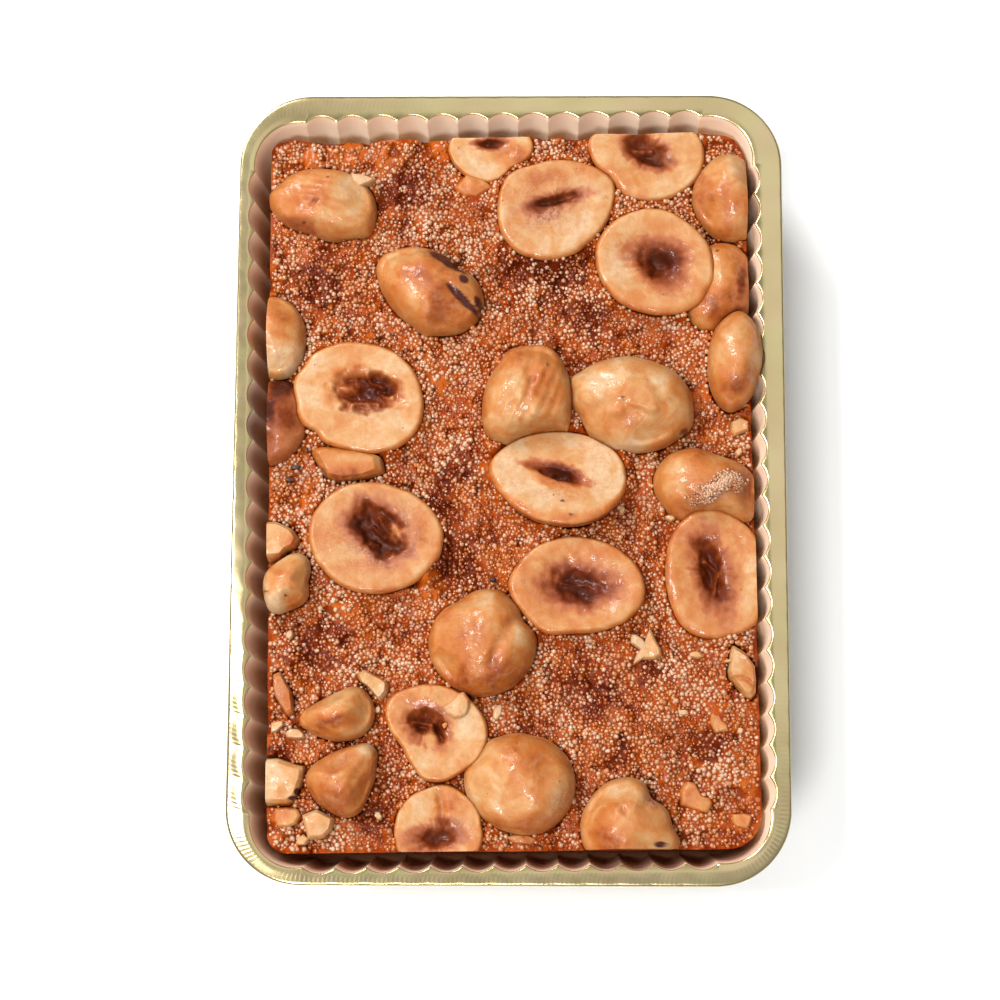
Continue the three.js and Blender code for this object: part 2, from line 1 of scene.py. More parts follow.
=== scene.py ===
"""A semolina slab topped with roasted hazelnuts, in its own tray of gold-coloured film.

Lengths are millimetres, turned into metres as each mesh is made. Places on the object are
measured from the middle of the pan, with +X along a short side and +Y along a long one.
"""
import math
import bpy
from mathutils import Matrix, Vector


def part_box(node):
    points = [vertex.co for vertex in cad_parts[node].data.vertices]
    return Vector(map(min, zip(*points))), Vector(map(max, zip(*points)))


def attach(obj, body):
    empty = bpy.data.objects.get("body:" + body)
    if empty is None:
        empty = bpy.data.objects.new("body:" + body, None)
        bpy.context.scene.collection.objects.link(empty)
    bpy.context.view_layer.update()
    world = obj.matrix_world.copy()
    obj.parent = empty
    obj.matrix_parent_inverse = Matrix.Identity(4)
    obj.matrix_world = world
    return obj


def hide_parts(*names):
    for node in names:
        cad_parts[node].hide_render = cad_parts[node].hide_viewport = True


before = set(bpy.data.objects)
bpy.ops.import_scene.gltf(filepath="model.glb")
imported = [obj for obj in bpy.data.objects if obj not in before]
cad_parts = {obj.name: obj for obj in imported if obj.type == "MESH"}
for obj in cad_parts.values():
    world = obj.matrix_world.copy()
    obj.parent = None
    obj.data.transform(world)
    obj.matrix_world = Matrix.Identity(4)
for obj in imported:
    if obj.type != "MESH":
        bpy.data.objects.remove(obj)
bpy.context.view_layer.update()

from types import SimpleNamespace

import bpy
import numpy as np
from mathutils import Matrix

MM = 0.001
SEED = 20

# The pan's middle, a little off the middle of the rim that was trimmed askew round it.
PAN_X = -0.35
PAN_Y = -0.38
TRIM_TURN = math.radians(-0.8)


def box_mm(node):
    """A solid's lowest and highest corners, in millimetres from the pan's middle."""
    low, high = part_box(node)
    shift = np.array([PAN_X, PAN_Y, 0])
    return np.array(low) / MM - shift, np.array(high) / MM - shift


# Tray.
TRAY_DEPTH = box_mm("tray")[1][2]
FLUTE_PITCH = 4.2
FLUTES_ACROSS = 13
FLUTES_ALONG = 21
FLUTE_DEPTH = 0.85
CORNER_RADIUS = 7.0
CORNER_BULGE = 0.5
RIM_WIDTH = 3.098
RIM_LIP = 1.3
FILM = 0.5
WALL_DRAFT = 1.8
FOOT_ROUND = 1.2
RIBS_PER_FLUTE = 7
RIBS_PER_CORNER = 24
STEPS_PER_RIB = 4
RIB_HEIGHT = 0.011
# The rim's upper face: its rings, as shares of its width from the flutes to its edge, where it
# starts to round off and how far it falls there, how deep its dish is and how far its inner edge
# rolls down, how far it dips beside a cusp and at a corner, and its dents.
RIM_SHARES = (
    0.985, 0.955, 0.91, 0.85, 0.76, 0.66, 0.55, 0.44, 0.34, 0.25, 0.17, 0.1, 0.045, 0.01,
)
RIM_ROUNDS_FROM = 0.86
RIM_CROWN = 0.3
RIM_DISH = 0.1
RIM_ROLL = 0.09
CUSP_DIP = 0.2
CUSP_DIP_REACH = 1.0
CORNER_DIP = 0.12
CORNER_DIP_REACH = 0.3
DIP_POWER = 1.3
DENT_DEPTH = 0.015
# The rim sags on the left, towards the near end.
RIM_SAG = 0.5
RIM_SAG_AT = -36.0
RIM_SAG_REACH = 17.0
HALF_ACROSS = FLUTES_ACROSS * FLUTE_PITCH / 2
HALF_ALONG = FLUTES_ALONG * FLUTE_PITCH / 2
CUSP_HALF_X = HALF_ACROSS + CORNER_RADIUS
# The rings up the outside and down the inside of the wall, and those of its round foot.
OUTSIDE_SHARES = (0, 0.35, 0.7, 1)
WALL_SHARES = (0, 0.08, 0.2, 0.4, 0.6, 0.8, 1)
FOOT_SHARES = (0.4, 0.75, 1)
WALL_WAVE = 0.06
FLOOR_INSET = 6.0

# Slab.
SLAB_LOW, SLAB_HIGH = box_mm("slab")
SLAB_MIDDLE_X = (SLAB_LOW[0] + SLAB_HIGH[0]) / 2
SLAB_HALF_X = (SLAB_HIGH[0] - SLAB_LOW[0]) / 2
SLAB_HALF_Y = (SLAB_HIGH[1] - SLAB_LOW[1]) / 2
SLAB_FOOT = SLAB_LOW[2]
SLAB_TOP = 17.2
SLAB_TAPER = 1.4
SLAB_FOOT_ROUND = 1.2
# Corner radii by the signs of X and Y.
SLAB_CORNERS = {(1, -1): 4.6, (1, 1): 3.4, (-1, 1): 1.8, (-1, -1): 2.8}
SLAB_COLUMNS = 198
ROW_PITCH = 0.335
ROW_CROWD = 5.0
CROWDED_ROWS = 26
# The rings down the slab's cut sides, as shares of the way from its top to its foot.
SIDE_SHARES = (0.03, 0.07, 0.12, 0.18, 0.25, 0.33, 0.42, 0.52, 0.63, 0.75, 0.86, 0.94, 1)
# Relief of the crumb, as layers of noise: height, size in millimetres and seed. The first two
# are the lumps and crags of the solid.
LUMPS = (0.75, 5.0, 3)
CRAGS = (0.4, 2.6, 8)
FINE_CRUMB = ((0.24, 1.3, 5), (0.1, 0.55, 6))
HOLLOWS = ((1, 1.9, 17), (0.35, 0.8, 18), (0.3, 7.0, 16))
HOLLOW_DEPTH = 0.8
BURNT_SEED = 21
GLAZED_SEED = 23
TOUCH_GAP = 0.3

# Places on the slab where the syrup burnt, and where it lies bare of grains: x, y, radius.
BURNT = [
    (-13.0, 42.0, 4.8), (-25.5, 29.3, 4.6), (7.7, 29.8, 5.0), (3.0, 31.2, 3.8),
    (11.4, 22.9, 4.4), (-7.0, 1.6, 4.0), (-9.1, -1.8, 3.6), (-6.4, -10.1, 4.2),
    (12.2, -27.9, 4.6), (19.0, -25.3, 3.2), (-26.7, -22.1, 4.0), (-23.3, -20.1, 3.0),
    (14.8, -36.0, 2.6), (-18.0, -44.9, 3.2), (-30.6, -36.0, 2.2), (27.4, -35.5, 2.6),
]
GLAZED = [
    (-22.1, 48.2, 3.4), (-26.5, 46.0, 2.4), (-8.8, 48.7, 2.4), (-16.2, 47.4, 2.2),
    (26.5, 11.6, 2.0), (-10.5, -14.1, 2.4), (-22.6, -17.0, 1.8), (10.6, -45.2, 1.6),
    (31.3, -41.5, 1.6), (-30.9, -44.8, 1.6),
    (-2.3, 2.2, 1.8), (-9.0, 14.2, 2.0), (26.5, 47.4, 2.6), (-30.0, 45.5, 1.8),
    (-28.5, -1.8, 1.8), (-18.6, 20.8, 1.6),
]

# Grains. A grain's rings are given by their angle down from its tip and by their twist, as a
# share of the angle between two of its sides.
GRAIN_PITCH = 0.54
GRAIN_ROW = 0.87 * GRAIN_PITCH
GRAIN_SIDES = 6
GRAIN_RINGS = ((118, 0.0), (68, 0.5), (32, 0.0))
GRAIN_SIZE = (0.24, 0.42)
GRAIN_SQUASH = (0.6, 1.0)
GRAIN_UNEVEN = (0.78, 1.22)
GRAIN_SINK = (-0.45, 0.42)
GRAIN_JITTER = (0.2, 0.18)
# A grain is of the first kind whose share its luck stays under. The second number is added to
# that share where the top burnt.
GRAIN_KINDS = {
    "toasted_grains": (0.06, 0.7),
    "amber_grains": (0.3, 0.4),
    "wheat_grains": (0.55, 0.1),
    "cream_grains": (math.inf, 0.0),
}
# This share of the grains is smaller than the rest, by this share.
SMALL_GRAINS = 0.35
SMALLER_BY = 0.3
# Like grains lie together, in clusters of these shares, sizes and seeds.
GRAIN_CLUSTERS = ((0.24, 5.5, 40), (0.28, 2.4, 41), (0.1, 1.1, 42))

# Nut meshes: the rays of a nut, a broken piece, a chip, a flake and a crumb.
NUT_STEPS = 128
PIECE_STEPS = 96
CHIP_STEPS = 48
FLAKE_STEPS = 20
CRUMB_STEPS = 16
TIP_WIDTH = 0.38
EDGE_DROP = 0.9
FACE_SHARE = 0.92
FINE_EDGE = 0.012
PIECE_SOFTNESS = 0.04
BACK_SOFTNESS = 0.22
# Places beyond this share of a nut's length from its middle, and a margin, are passed over.
NUT_REACH = 0.6
# The crumb is heaped this far round a nut, less high round a back than under a half's brim.
BANK_REACH = 1.7
BANK_HEIGHT = 0.45
BRIM_DROP = 0.75
LOWEST_BANK = 0.2
# A back is a ball of this power, worn by flats of this tilt in degrees and distance.
BALL_POWER = 2.353
FLATS = 6
FLAT_TILT = (15, 60)
FLAT_AWAY = (0.9, 0.98)
FLAT_SOFTNESS = 0.06
# The crown, bevel and side of a broken piece, by shares of its outline and of its height.
PIECE_SHARES = (0, 0.72, 0.9, 1)
PIECE_HEIGHTS = (1, 0.94, 0.55)
# A nut dips where another lies over it, between these shares of the other's outline, and none
# reaches farther than this.
DIPS_BETWEEN = (0.94, 1.17)
LONGEST_REACH = 20
# Each kind of noise on a nut starts at its own seed, to which the nut adds its number.
CREASE_SEED = 30
PIT_SEED = 50
BACK_SEED = 80
PIECE_SEED = 110
FACE_SEED = 140
SPOT_SEED = 170
PAINT_SEED = 200
WORN_SEED = 300

# What a nut is unless its own line says otherwise. Directions are in degrees, from +X towards +Y,
# and places are millimetres from the nut's own middle.
#   sunk     how deep it lies in the crumb, lean how far it is tipped, and slope that of its top
#   warm     from cream, 0, to orange, 1
#   ridges   fine lengthwise furrows, and bumps, lumps: millimetres
#   dish     how far a cut face sinks inside its rim
#   flank    where a cut face leaves its round side bare: direction, share, spread
#   dents    the outline, in where the share is negative: direction, share, spread
#   edges    the corners of an outline that is no oval
#   creases  a line's two ends, half width, depth, which is negative for a ridge
#   spots    kind, x, y, half length, half width, turn, amount
#   pit      x, y, half length, half width, turn, depth, how steep its wall is, reach of its halo
USUAL = {
    "point": 0.06, "uneven": 0.02, "sunk": 1.6, "slope": 0.0, "lean": 0.0, "overhangs": False,
    "warm": 0.45, "ridges": 0.0, "bumps": 0.12, "burnt": 0.0, "dish": 0.12,
    "flank": (265, 0.05, 60), "dents": (), "edges": (), "creases": (), "spots": (),
}
NUTS = []


def make_nut(**own):
    """A nut with its own values, and the usual ones for the rest."""
    return SimpleNamespace(**{**USUAL, **own})


def lay(shape, name, x, y, length, width, height, rise, turn, **more):
    """Adds a nut to the list: a half lying cut face up, a back or a broken piece."""
    NUTS.append(make_nut(
        shape=shape, name="nut_" + name, x=x, y=y, length=length, width=width, height=height,
        rise=rise, turn=turn, seed=len(NUTS) + 1, **more,
    ))


# Those lying uppermost come first.
lay("half", "half_a", 7.1, 38.6, 16.4, 13.8, 6.2, 2.2, 25, warm=0.29,
    dents=((145, 0.11, 22), (215, 0.03, 20)), flank=(278, 0.08, 45),
    pit=(0.2, 1.2, 2.3, 0.55, 14, 1.3, 0.4, 1.8),
    spots=(("roast", -0.4, 0.1, 3.6, 2.1, 22, 0.34), ("bruise", -0.8, -0.8, 2.2, 1.5, 20, 0.55),
           ("roast", 0.2, 1.3, 3.4, 1.0, 14, -0.3),
           ("bruise", -1.0, 0.0, 7.0, 5.5, 20, 0.25),
           ("warm", -1.0, 4.4, 4.5, 1.8, 20, 0.3), ("warm", 0.5, -4.2, 5.0, 1.6, 20, -0.15)))
lay("half", "half_b", 20.0, 46.2, 15.8, 13.2, 6.0, 1.7, 168, warm=0.3,
    dents=((215, -0.12, 20),), flank=(232, 0.14, 45),
    pit=(0.0, 0.6, 2.7, 1.6, -25, 2.0, 0.45, 1.6), creases=((-1.6, 0.6, 0.8, 0.9, 0.4, -0.7),),
    spots=(("bruise", 2.0, -0.4, 1.2, 1.1, 0, 0.9), ("roast", 1.0, -1.4, 1.8, 1.4, 0, 0.4),
           ("bruise", -0.4, 0.8, 2.2, 1.0, -15, 0.35), ("warm", -3.5, 3.4, 2.0, 1.4, 30, -0.2)))
lay("half", "half_c", 20.6, 30.4, 16.6, 14.6, 6.4, 3.2, 150, point=0.02, warm=0.33,
    dents=((17, 0.04, 20),), flank=(285, 0.13, 55), dish=0.4,
    pit=(0.3, 0.0, 2.2, 1.5, -40, 2.0, 0.15, 2.8),
    spots=(("bruise", -1.3, 1.4, 2.4, 0.5, 12, 0.9), ("bruise", 1.2, -0.7, 1.6, 0.5, -45, 0.7),
           ("roast", 2.6, 0.6, 2.6, 2.0, 0, 0.38), ("warm", -4.5, -1.0, 2.0, 3.0, 0, -0.25)))
lay("half", "half_d", -19.8, 12.0, 17.8, 15.3, 6.6, 2.3, 170, point=0.02, uneven=0.035,
    warm=0.22, dents=((135, 0.13, 16), (110, 0.07, 14), (162, 0.04, 10), (182, -0.04, 12),
                      (216, -0.07, 8)),
    pit=(0.9, 1.0, 4.5, 2.6, -4, 1.9, 0.85, 0.9),
    creases=((-3.6, 1.4, -1.2, 1.6, 0.8, -1.3), (1.4, 2.4, 3.2, 1.8, 0.35, -0.8),
             (3.0, 0.8, 4.4, 0.0, 0.35, -0.7), (-0.6, -0.4, 2.6, -0.9, 0.4, -0.5)),
    spots=(("roast", 1.9, 2.7, 2.2, 0.7, 0, 0.4), ("roast", 4.3, 1.2, 1.0, 0.9, 0, 0.4),
           ("warm", -2.0, 3.6, 3.6, 1.2, 10, 0.5), ("bruise", 1.0, -1.5, 3.2, 0.9, 0, 0.6),
           ("warm", -4.6, 0.4, 0.9, 1.6, 0, 0.4)))
lay("half", "half_e", 7.3, 1.1, 18.2, 14.2, 5.6, 2.6, 170, lean=-20, warm=0.1,
    flank=(262, 0.3, 55), pit=(-0.4, 0.2, 2.6, 0.7, -22, 1.6, 0.4, 1.6),
    spots=(("roast", -0.3, 1.3, 2.8, 0.9, -20, 0.4), ("warm", -0.7, -1.2, 3.4, 1.2, -30, 0.8),
           ("bruise", -1.0, -3.0, 3.0, 0.9, -10, 0.3), ("warm", -5.5, 2.0, 1.5, 0.35, -15, -0.4),
           ("stain", 0.2, -4.1, 0.35, 0.2, 0, 0.9), ("stain", 1.3, -6.2, 0.3, 0.2, 0, 0.9)))
lay("half", "half_f", -17.8, -7.1, 18.2, 15.2, 6.6, 2.3, 172, point=0.01, warm=0.36,
    flank=(290, 0.06, 60), pit=(0.7, 0.9, 3.5, 2.3, -48, 2.0, 0.5, 2.2),
    creases=((0.6, 2.4, 3.0, -0.6, 0.55, -1.5), (0.1, 1.4, 1.6, -0.3, 0.3, -0.8),
             (-0.5, -0.7, 0.5, -1.1, 0.3, -0.7)),
    spots=(("warm", 5.6, 0.2, 1.7, 2.6, 0, 0.45), ("warm", -3.8, 0.6, 1.5, 1.3, 0, 0.5),
           ("roast", 0.6, 0.7, 4.6, 3.6, -48, 0.28), ("roast", -2.6, 0.8, 1.6, 1.6, 20, 0.25),
           ("warm", -0.5, -3.9, 3.2, 1.0, 0, 0.35), ("roast", 2.75, 1.0, 0.9, 0.5, -60, -1.2),
           ("bruise", -2.2, -1.6, 1.8, 0.8, -15, 0.4), ("bruise", 0.4, -3.0, 1.8, 0.6, -30, 0.8),
           ("bruise", 3.7, -1.4, 1.3, 1.3, 0, 0.6), ("bruise", 3.8, 2.6, 1.6, 1.4, 0, 0.4),
           ("bruise", -2.0, 0.0, 7.0, 7.0, 0, 0.2)))
lay("half", "half_g", 9.5, -14.0, 18.0, 13.2, 6.2, 2.2, 176, warm=0.42, dish=0.5,
    dents=((235, 0.1, 18),), flank=(275, 0.06, 50), pit=(0.0, -0.1, 3.2, 1.8, -8, 1.5, 0.15, 2.6),
    creases=((-1.8, 0.3, 1.6, -0.2, 0.3, -0.4),),
    spots=(("roast", 0.3, 0.0, 5.2, 3.2, -5, 0.25), ("bruise", 0.3, -2.4, 1.6, 0.5, 0, 0.5),
           ("warm", 0.0, 1.0, 6.0, 3.4, 0, 0.25)))
lay("half", "half_h", 28.4, -12.8, 17.3, 13.8, 6.2, 2.2, 98, point=0.03, warm=0.52, dish=0.4,
    dents=((175, 0.06, 32), (130, 0.06, 25), (235, 0.1, 26)), flank=(205, 0.16, 50),
    pit=(-0.9, 0.5, 3.3, 1.2, -76, 1.9, 0.3, 2.8),
    creases=((-1.6, 1.7, -0.1, -0.2, 0.35, -0.8), (-0.1, -0.2, -0.7, -2.5, 0.35, -0.7)),
    spots=(("warm", -3.5, 3.1, 1.0, 0.9, 0, 0.4), ("warm", 1.8, -2.3, 1.1, 0.9, 0, 0.4),
           ("roast", -0.6, 0.5, 4.6, 3.0, -78, 0.22), ("warm", 4.2, 0.0, 4.5, 1.6, 80, -0.4)))
lay("half", "half_i", -9.7, -33.5, 13.6, 12.8, 5.6, 2.3, 148, point=0.12, uneven=0.03,
    warm=0.3, dents=((205, -0.22, 26), (235, -0.1, 16), (300, -0.03, 15)),
    flank=(210, 0.06, 40), pit=(-1.4, 1.3, 2.0, 1.5, -20, 1.9, 0.5, 1.8),
    creases=((-2.8, 1.4, -0.6, 1.1, 0.3, -1.2), (0.2, 0.6, 0.6, -1.0, 0.5, 0.9)),
    # The pale spot at (-0.8, -0.7), below its pit, is a painted highlight.
    spots=(("roast", -0.2, -1.2, 2.6, 1.3, -20, 0.38), ("roast", -0.8, -0.7, 0.7, 1.0, 20, -1.2),
           ("warm", -1.5, 4.2, 4.2, 1.3, 15, 0.15), ("warm", 3.9, 0.8, 1.9, 3.2, 0, -0.3)))
lay("half", "half_j", -9.6, -46.3, 13.0, 12.0, 5.4, 1.5, 80, point=0.1, warm=0.36,
    dents=((90, -0.13, 70), (340, 0.06, 20)), pit=(-0.2, -1.2, 2.4, 1.1, 10, 1.2, 0.3, 2.1),
    creases=((0.2, 4.4, 1.0, 0.3, 0.6, 0.4),),
    spots=(("warm", 1.2, 3.4, 1.1, 1.8, 80, 0.5), ("roast", 1.0, 1.2, 0.7, 1.5, 80, 0.3),
           ("bruise", 0.0, -0.3, 1.4, 0.7, 0, 0.6), ("bruise", 2.4, 0.5, 1.0, 1.0, 0, 0.5),
           ("warm", -3.0, -1.3, 1.6, 1.1, 0, 0.3)))
lay("half", "half_k", -1.8, 47.6, 11.6, 9.4, 5.0, 0.9, 0, warm=0.2, dents=((315, -0.2, 25),),
    pit=(0.2, 0.7, 1.3, 0.5, 0, 1.0, 0.3, 1.0),
    spots=(("warm", 3.6, -1.0, 2.2, 1.8, 0, 0.55), ("bruise", 0.2, 0.6, 1.4, 0.6, 0, 0.5)))
lay("back", "back_a", -24.9, 39.9, 14.8, 10.2, 5.2, 0.0, 170, bumps=0.2, ridges=0.03,
    dents=((325, 0.16, 18), (245, -0.1, 25), (158, -0.08, 12)),
    creases=((-7.0, -1.0, -1.5, -3.0, 0.5, -0.3), (-1.4, -0.9, -0.6, -0.2, 0.4, 0.3)),
    spots=(("roast", -3.7, -3.2, 4.2, 0.9, -18, 0.4), ("roast", -1.0, -0.5, 0.9, 0.6, 0, 0.4),
           ("warm", -1.0, 2.5, 4.2, 1.6, 10, -0.25), ("warm", 5.0, -1.0, 2.2, 2.2, 0, -0.25),
           ("stain", 0.8, 3.0, 0.25, 0.15, 0, 0.8), ("stain", -2.6, -3.2, 0.25, 0.15, 0, 0.8)))
lay("back", "back_b", 31.1, 39.8, 12.2, 10.0, 5.4, 0.0, 95, warm=0.6,
    spots=(("roast", -3.9, 0.5, 4.2, 1.0, 90, 0.3), ("warm", 0.0, 3.0, 2.0, 1.6, 0, -0.3)))
lay("back", "back_c", 31.3, 16.5, 13.6, 7.6, 5.6, 1.2, 84, overhangs=True, sunk=2.4,
    warm=0.6,
    spots=(("warm", -0.5, 3.0, 1.6, 2.4, 0, -0.3), ("warm", 0.0, -4.0, 2.0, 1.6, 0, 0.2)))
lay("back", "back_d", 29.4, 27.2, 12.8, 10.4, 4.6, -0.6, 72, warm=0.6, bumps=0.2,
    spots=(("roast", 3.2, 1.0, 2.8, 0.8, 78, 0.5), ("stain", -0.2, 4.8, 0.3, 0.2, 20, 0.9),
           ("roast", 3.2, -1.5, 2.8, 1.1, 80, 0.25), ("warm", 3.3, -2.4, 1.4, 2.0, 0, 0.35),
           ("warm", -1.5, 2.0, 2.0, 2.4, 0, -0.3)))
lay("back", "back_e", -10.1, 27.2, 15.6, 10.8, 6.0, 0.2, 150, point=0.08, warm=0.62,
    dents=((262, 0.1, 15), (105, 0.05, 20), (41, -0.17, 14)),
    creases=((-3.7, 1.0, 2.3, -3.0, 0.8, 0.12), (2.2, 0.0, 6.3, -3.8, 0.3, 0.2)),
    spots=(("stain", 2.3, 3.5, 3.2, 0.8, -35, 1.0), ("stain", 4.3, -1.9, 3.0, 0.6, -42, 1.0),
           ("stain", 4.6, 0.75, 0.75, 0.6, -45, 1.0), ("stain", 6.6, -2.3, 1.1, 0.5, -65, 1.0),
           ("warm", 0.3, 0.0, 3.2, 2.0, -30, 0.35), ("warm", -4.0, 3.0, 2.6, 1.8, 30, -0.4)))
lay("back", "back_f", -31.6, 20.9, 11.4, 8.8, 5.0, 0.0, 96, warm=0.34,
    spots=(("warm", 0.5, -3.6, 3.2, 1.5, 0, -0.45), ("warm", 0.5, 3.0, 2.4, 1.6, 0, 0.2)))
lay("back", "back_g", -31.4, 9.2, 11.8, 8.6, 4.2, -0.2, 84, warm=0.85, burnt=0.4, bumps=0.3,
    spots=(("roast", 0.8, 5.0, 1.8, 1.2, 0, 0.9), ("roast", -0.8, 1.0, 0.9, 1.6, 0, 0.9),
           ("roast", 1.0, 0.0, 3.0, 3.2, 0, 0.25), ("warm", 2.0, -4.0, 2.0, 1.8, 0, -0.2),
           ("bruise", 1.0, 3.4, 2.0, 1.2, 0, 0.4)))
lay("back", "back_h", 3.0, 12.1, 14.2, 12.0, 6.6, 0.3, 68, warm=0.46, ridges=0.06,
    dents=((112, 0.08, 15), (222, 0.1, 18), (320, 0.15, 18)),
    creases=((0.9, 6.7, 0.6, 1.4, 0.7, 0.3), (0.6, 1.4, -0.6, -3.8, 0.7, 0.3)),
    spots=(("warm", -2.5, 2.5, 3.0, 1.8, 80, -0.2), ("warm", 2.6, -1.0, 4.4, 1.8, 80, 0.2),
           ("stain", 2.8, 3.6, 0.2, 0.15, 0, 0.8)))
lay("back", "back_i", 17.2, 10.8, 16.8, 13.0, 6.6, 0.4, 172, point=0.08, warm=0.28,
    bumps=0.28, dents=((160, 0.1, 10), (192, -0.1, 16), (95, 0.07, 25), (338, 0.08, 12),
                       (135, 0.05, 15)),
    creases=((-0.2, -0.6, 3.0, -1.7, 0.45, -0.35), (2.2, 2.4, 4.4, -0.6, 0.5, 0.25),
             (-3.4, -1.6, -1.8, -1.8, 0.8, -0.4)),
    spots=(("stain", -1.4, 0.0, 0.25, 0.15, 0, 0.8), ("stain", 7.0, -4.0, 0.7, 0.3, 20, 0.8),
           ("warm", 3.5, -2.5, 3.0, 1.6, -20, 0.3), ("warm", -3.0, 2.5, 3.0, 2.0, 0, -0.2)))
lay("back", "back_j", 26.9, -0.5, 14.2, 10.8, 5.4, 0.0, 172, point=0.02, warm=0.6,
    dents=((320, 0.2, 15), (62, -0.14, 34)),
    creases=((-4.0, -0.6, -2.3, -2.0, 0.3, 0.15), (-1.2, -2.4, 3.2, -0.2, 0.8, -0.5)),
    spots=(("roast", 1.6, -1.6, 3.4, 1.6, 0, 0.2), ("warm", -3.5, 1.5, 2.0, 2.4, 0, -0.15),
           ("bruise", 1.6, -0.9, 3.4, 1.0, 28, 1.0)))
lay("back", "back_k", -29.8, -13.1, 9.0, 6.6, 4.8, 0.6, 72, overhangs=True, warm=0.28,
    edges=((3.4, 2.3), (2.85, 0.3), (3.1, -1.7), (2.3, -2.9), (-1.85, -4.5), (-2.8, -2.9),
           (-3.25, -0.5), (-2.85, 1.5), (-0.85, 3.1), (1.2, 4.2), (2.6, 3.9)),
    spots=(("warm", -1.7, -3.0, 1.7, 1.0, -20, -0.4), ("warm", 1.6, -3.0, 2.0, 1.0, 20, 0.4),
           ("stain", 0.2, -2.1, 0.2, 0.14, 0, 0.9), ("stain", -2.6, -1.4, 0.6, 0.14, -15, 0.8)))
lay("back", "back_l", -3.4, -21.5, 14.6, 14.2, 6.8, 0.2, 110, point=0.01, bumps=0.2, warm=0.6,
    dents=((118, -0.12, 22), (185, 0.06, 25), (28, -0.1, 12), (75, 0.04, 14)),
    creases=((4.8, 3.3, 1.1, -3.5, 0.8, 0.4), (-1.6, -0.6, 0.6, -2.0, 0.4, 0.15),
             (-2.4, 1.2, -0.6, 1.6, 0.6, -0.2)),
    # Painted light and shade: the pale spot at its top (1.2, 5.0) and the warm one at its bottom
    # (0.0, -5.0), painted light over its right side at (3.4, 0.3), and a painted highlight streak on
    # its right lobe at (4.9, 0.5).
    spots=(("bruise", -2.0, 1.0, 2.2, 1.6, 0, 0.22), ("warm", 1.2, 5.0, 2.6, 1.6, 0, -0.45),
           ("warm", 0.0, -5.0, 5.0, 1.7, 0, 0.35), ("warm", -0.8, -0.5, 2.8, 2.4, 0, 0.35),
           ("warm", 4.9, 0.5, 0.7, 2.0, -10, -0.35), ("warm", 3.4, 0.3, 1.6, 3.0, -10, -0.35)))
lay("back", "back_m", -23.3, -30.8, 11.6, 7.4, 5.0, 0.3, 200, warm=0.55, ridges=0.03,
    edges=((-5.6, -0.8), (-3.2, 1.0), (-0.3, 2.6), (3.3, 4.0), (5.4, 1.3), (5.5, -0.6),
           (4.6, -2.3), (3.0, -3.5), (0.0, -3.7), (-2.5, -2.9)),
    creases=((-1.5, -1.6, 2.6, 0.6, 0.9, -0.4), (4.2, 2.2, 4.8, 0.2, 0.3, 0.3)),
    spots=(("warm", 0.0, -1.4, 3.6, 0.8, 15, 0.5), ("warm", 1.0, 2.2, 2.4, 1.0, 30, -0.25)))
lay("back", "back_n", 1.4, -40.3, 15.0, 13.4, 6.6, 0.2, 345, point=0.01, bumps=0.2,
    creases=((-2.7, 5.4, -0.6, 3.8, 0.4, -0.2), (-5.0, -1.8, -2.6, -4.8, 0.5, -0.2)),
    spots=(("bruise", 5.2, -2.9, 1.6, 1.2, 60, 0.6), ("warm", 0.8, -1.6, 2.6, 1.5, 0, 0.3),
           ("warm", -2.6, 1.0, 1.9, 3.2, 0, -0.2), ("warm", 0.0, -5.4, 5.0, 1.3, 0, 0.3)))
lay("back", "back_o", 15.3, -45.9, 12.4, 12.0, 5.8, 0.2, 60, point=0.02,
    dents=((45, -0.2, 18), (338, 0.26, 14)),
    creases=((-0.4, 1.6, 0.0, 1.3, 0.35, 0.3), (-1.9, 2.2, -1.3, 1.9, 0.4, -0.25)),
    spots=(("bruise", 3.4, 2.7, 1.0, 0.45, -40, 1.0), ("stain", 4.4, -2.8, 0.8, 0.42, 0, 1.0),
           ("warm", -2.5, -2.5, 3.2, 1.8, -10, 0.4), ("warm", 0.0, 4.6, 2.2, 1.6, 0, -0.35)))
lay("piece", "piece_a", -21.6, 2.8, 11.0, 6.2, 2.6, 0.4, 176, warm=0.58, slope=0.05, bumps=0.03,
    edges=((4.9, 1.4), (1.6, 2.6), (-3.9, 2.9), (-5.3, 2.3), (-3.2, -1.7), (-0.9, -2.2),
           (2.8, -1.8), (5.3, -0.9)),
    spots=(("warm", 0.0, -1.6, 3.6, 0.9, 0, 0.3), ("warm", 0.4, 0.9, 3.6, 0.7, 0, -0.2),
           ("warm", 4.6, 0.3, 0.9, 1.2, 0, -0.4), ("stain", -3.2, -1.0, 0.9, 0.4, -60, 0.6)))
lay("piece", "piece_b", -30.7, -7.3, 6.6, 6.2, 2.6, 0.2, 40, warm=0.25, bumps=0.1,
    edges=((2.8, 0.2), (1.75, 1.7), (-0.5, 2.8), (-2.5, 2.8), (-2.5, -2.8), (0.0, -2.6),
           (0.9, -1.5), (2.2, -1.0)),
    spots=(("warm", 1.6, -0.6, 1.2, 1.6, 0, 0.45), ("roast", 0.2, -2.2, 1.4, 0.6, 10, 0.35)))
lay("back", "piece_c", -22.1, -39.8, 11.6, 9.8, 5.8, 0.4, 58, warm=0.7,
    ridges=0.04, edges=((4.6, 5.2), (4.3, 0.3), (2.5, -3.9), (1.5, -4.8), (-0.4, -4.8),
                        (-3.6, -2.9), (-5.3, 0.0), (-4.6, 1.9), (-1.4, 3.9), (2.2, 5.0)),
    creases=((-4.6, 0.6, 4.0, 0.8, 0.7, -0.3),),
    spots=(("warm", 3.6, 4.4, 1.4, 1.0, 30, -1.0), ("warm", 0.0, -3.0, 3.0, 1.4, 0, 0.2),
           ("bruise", 0.0, 2.5, 2.4, 1.4, 20, 0.25)))
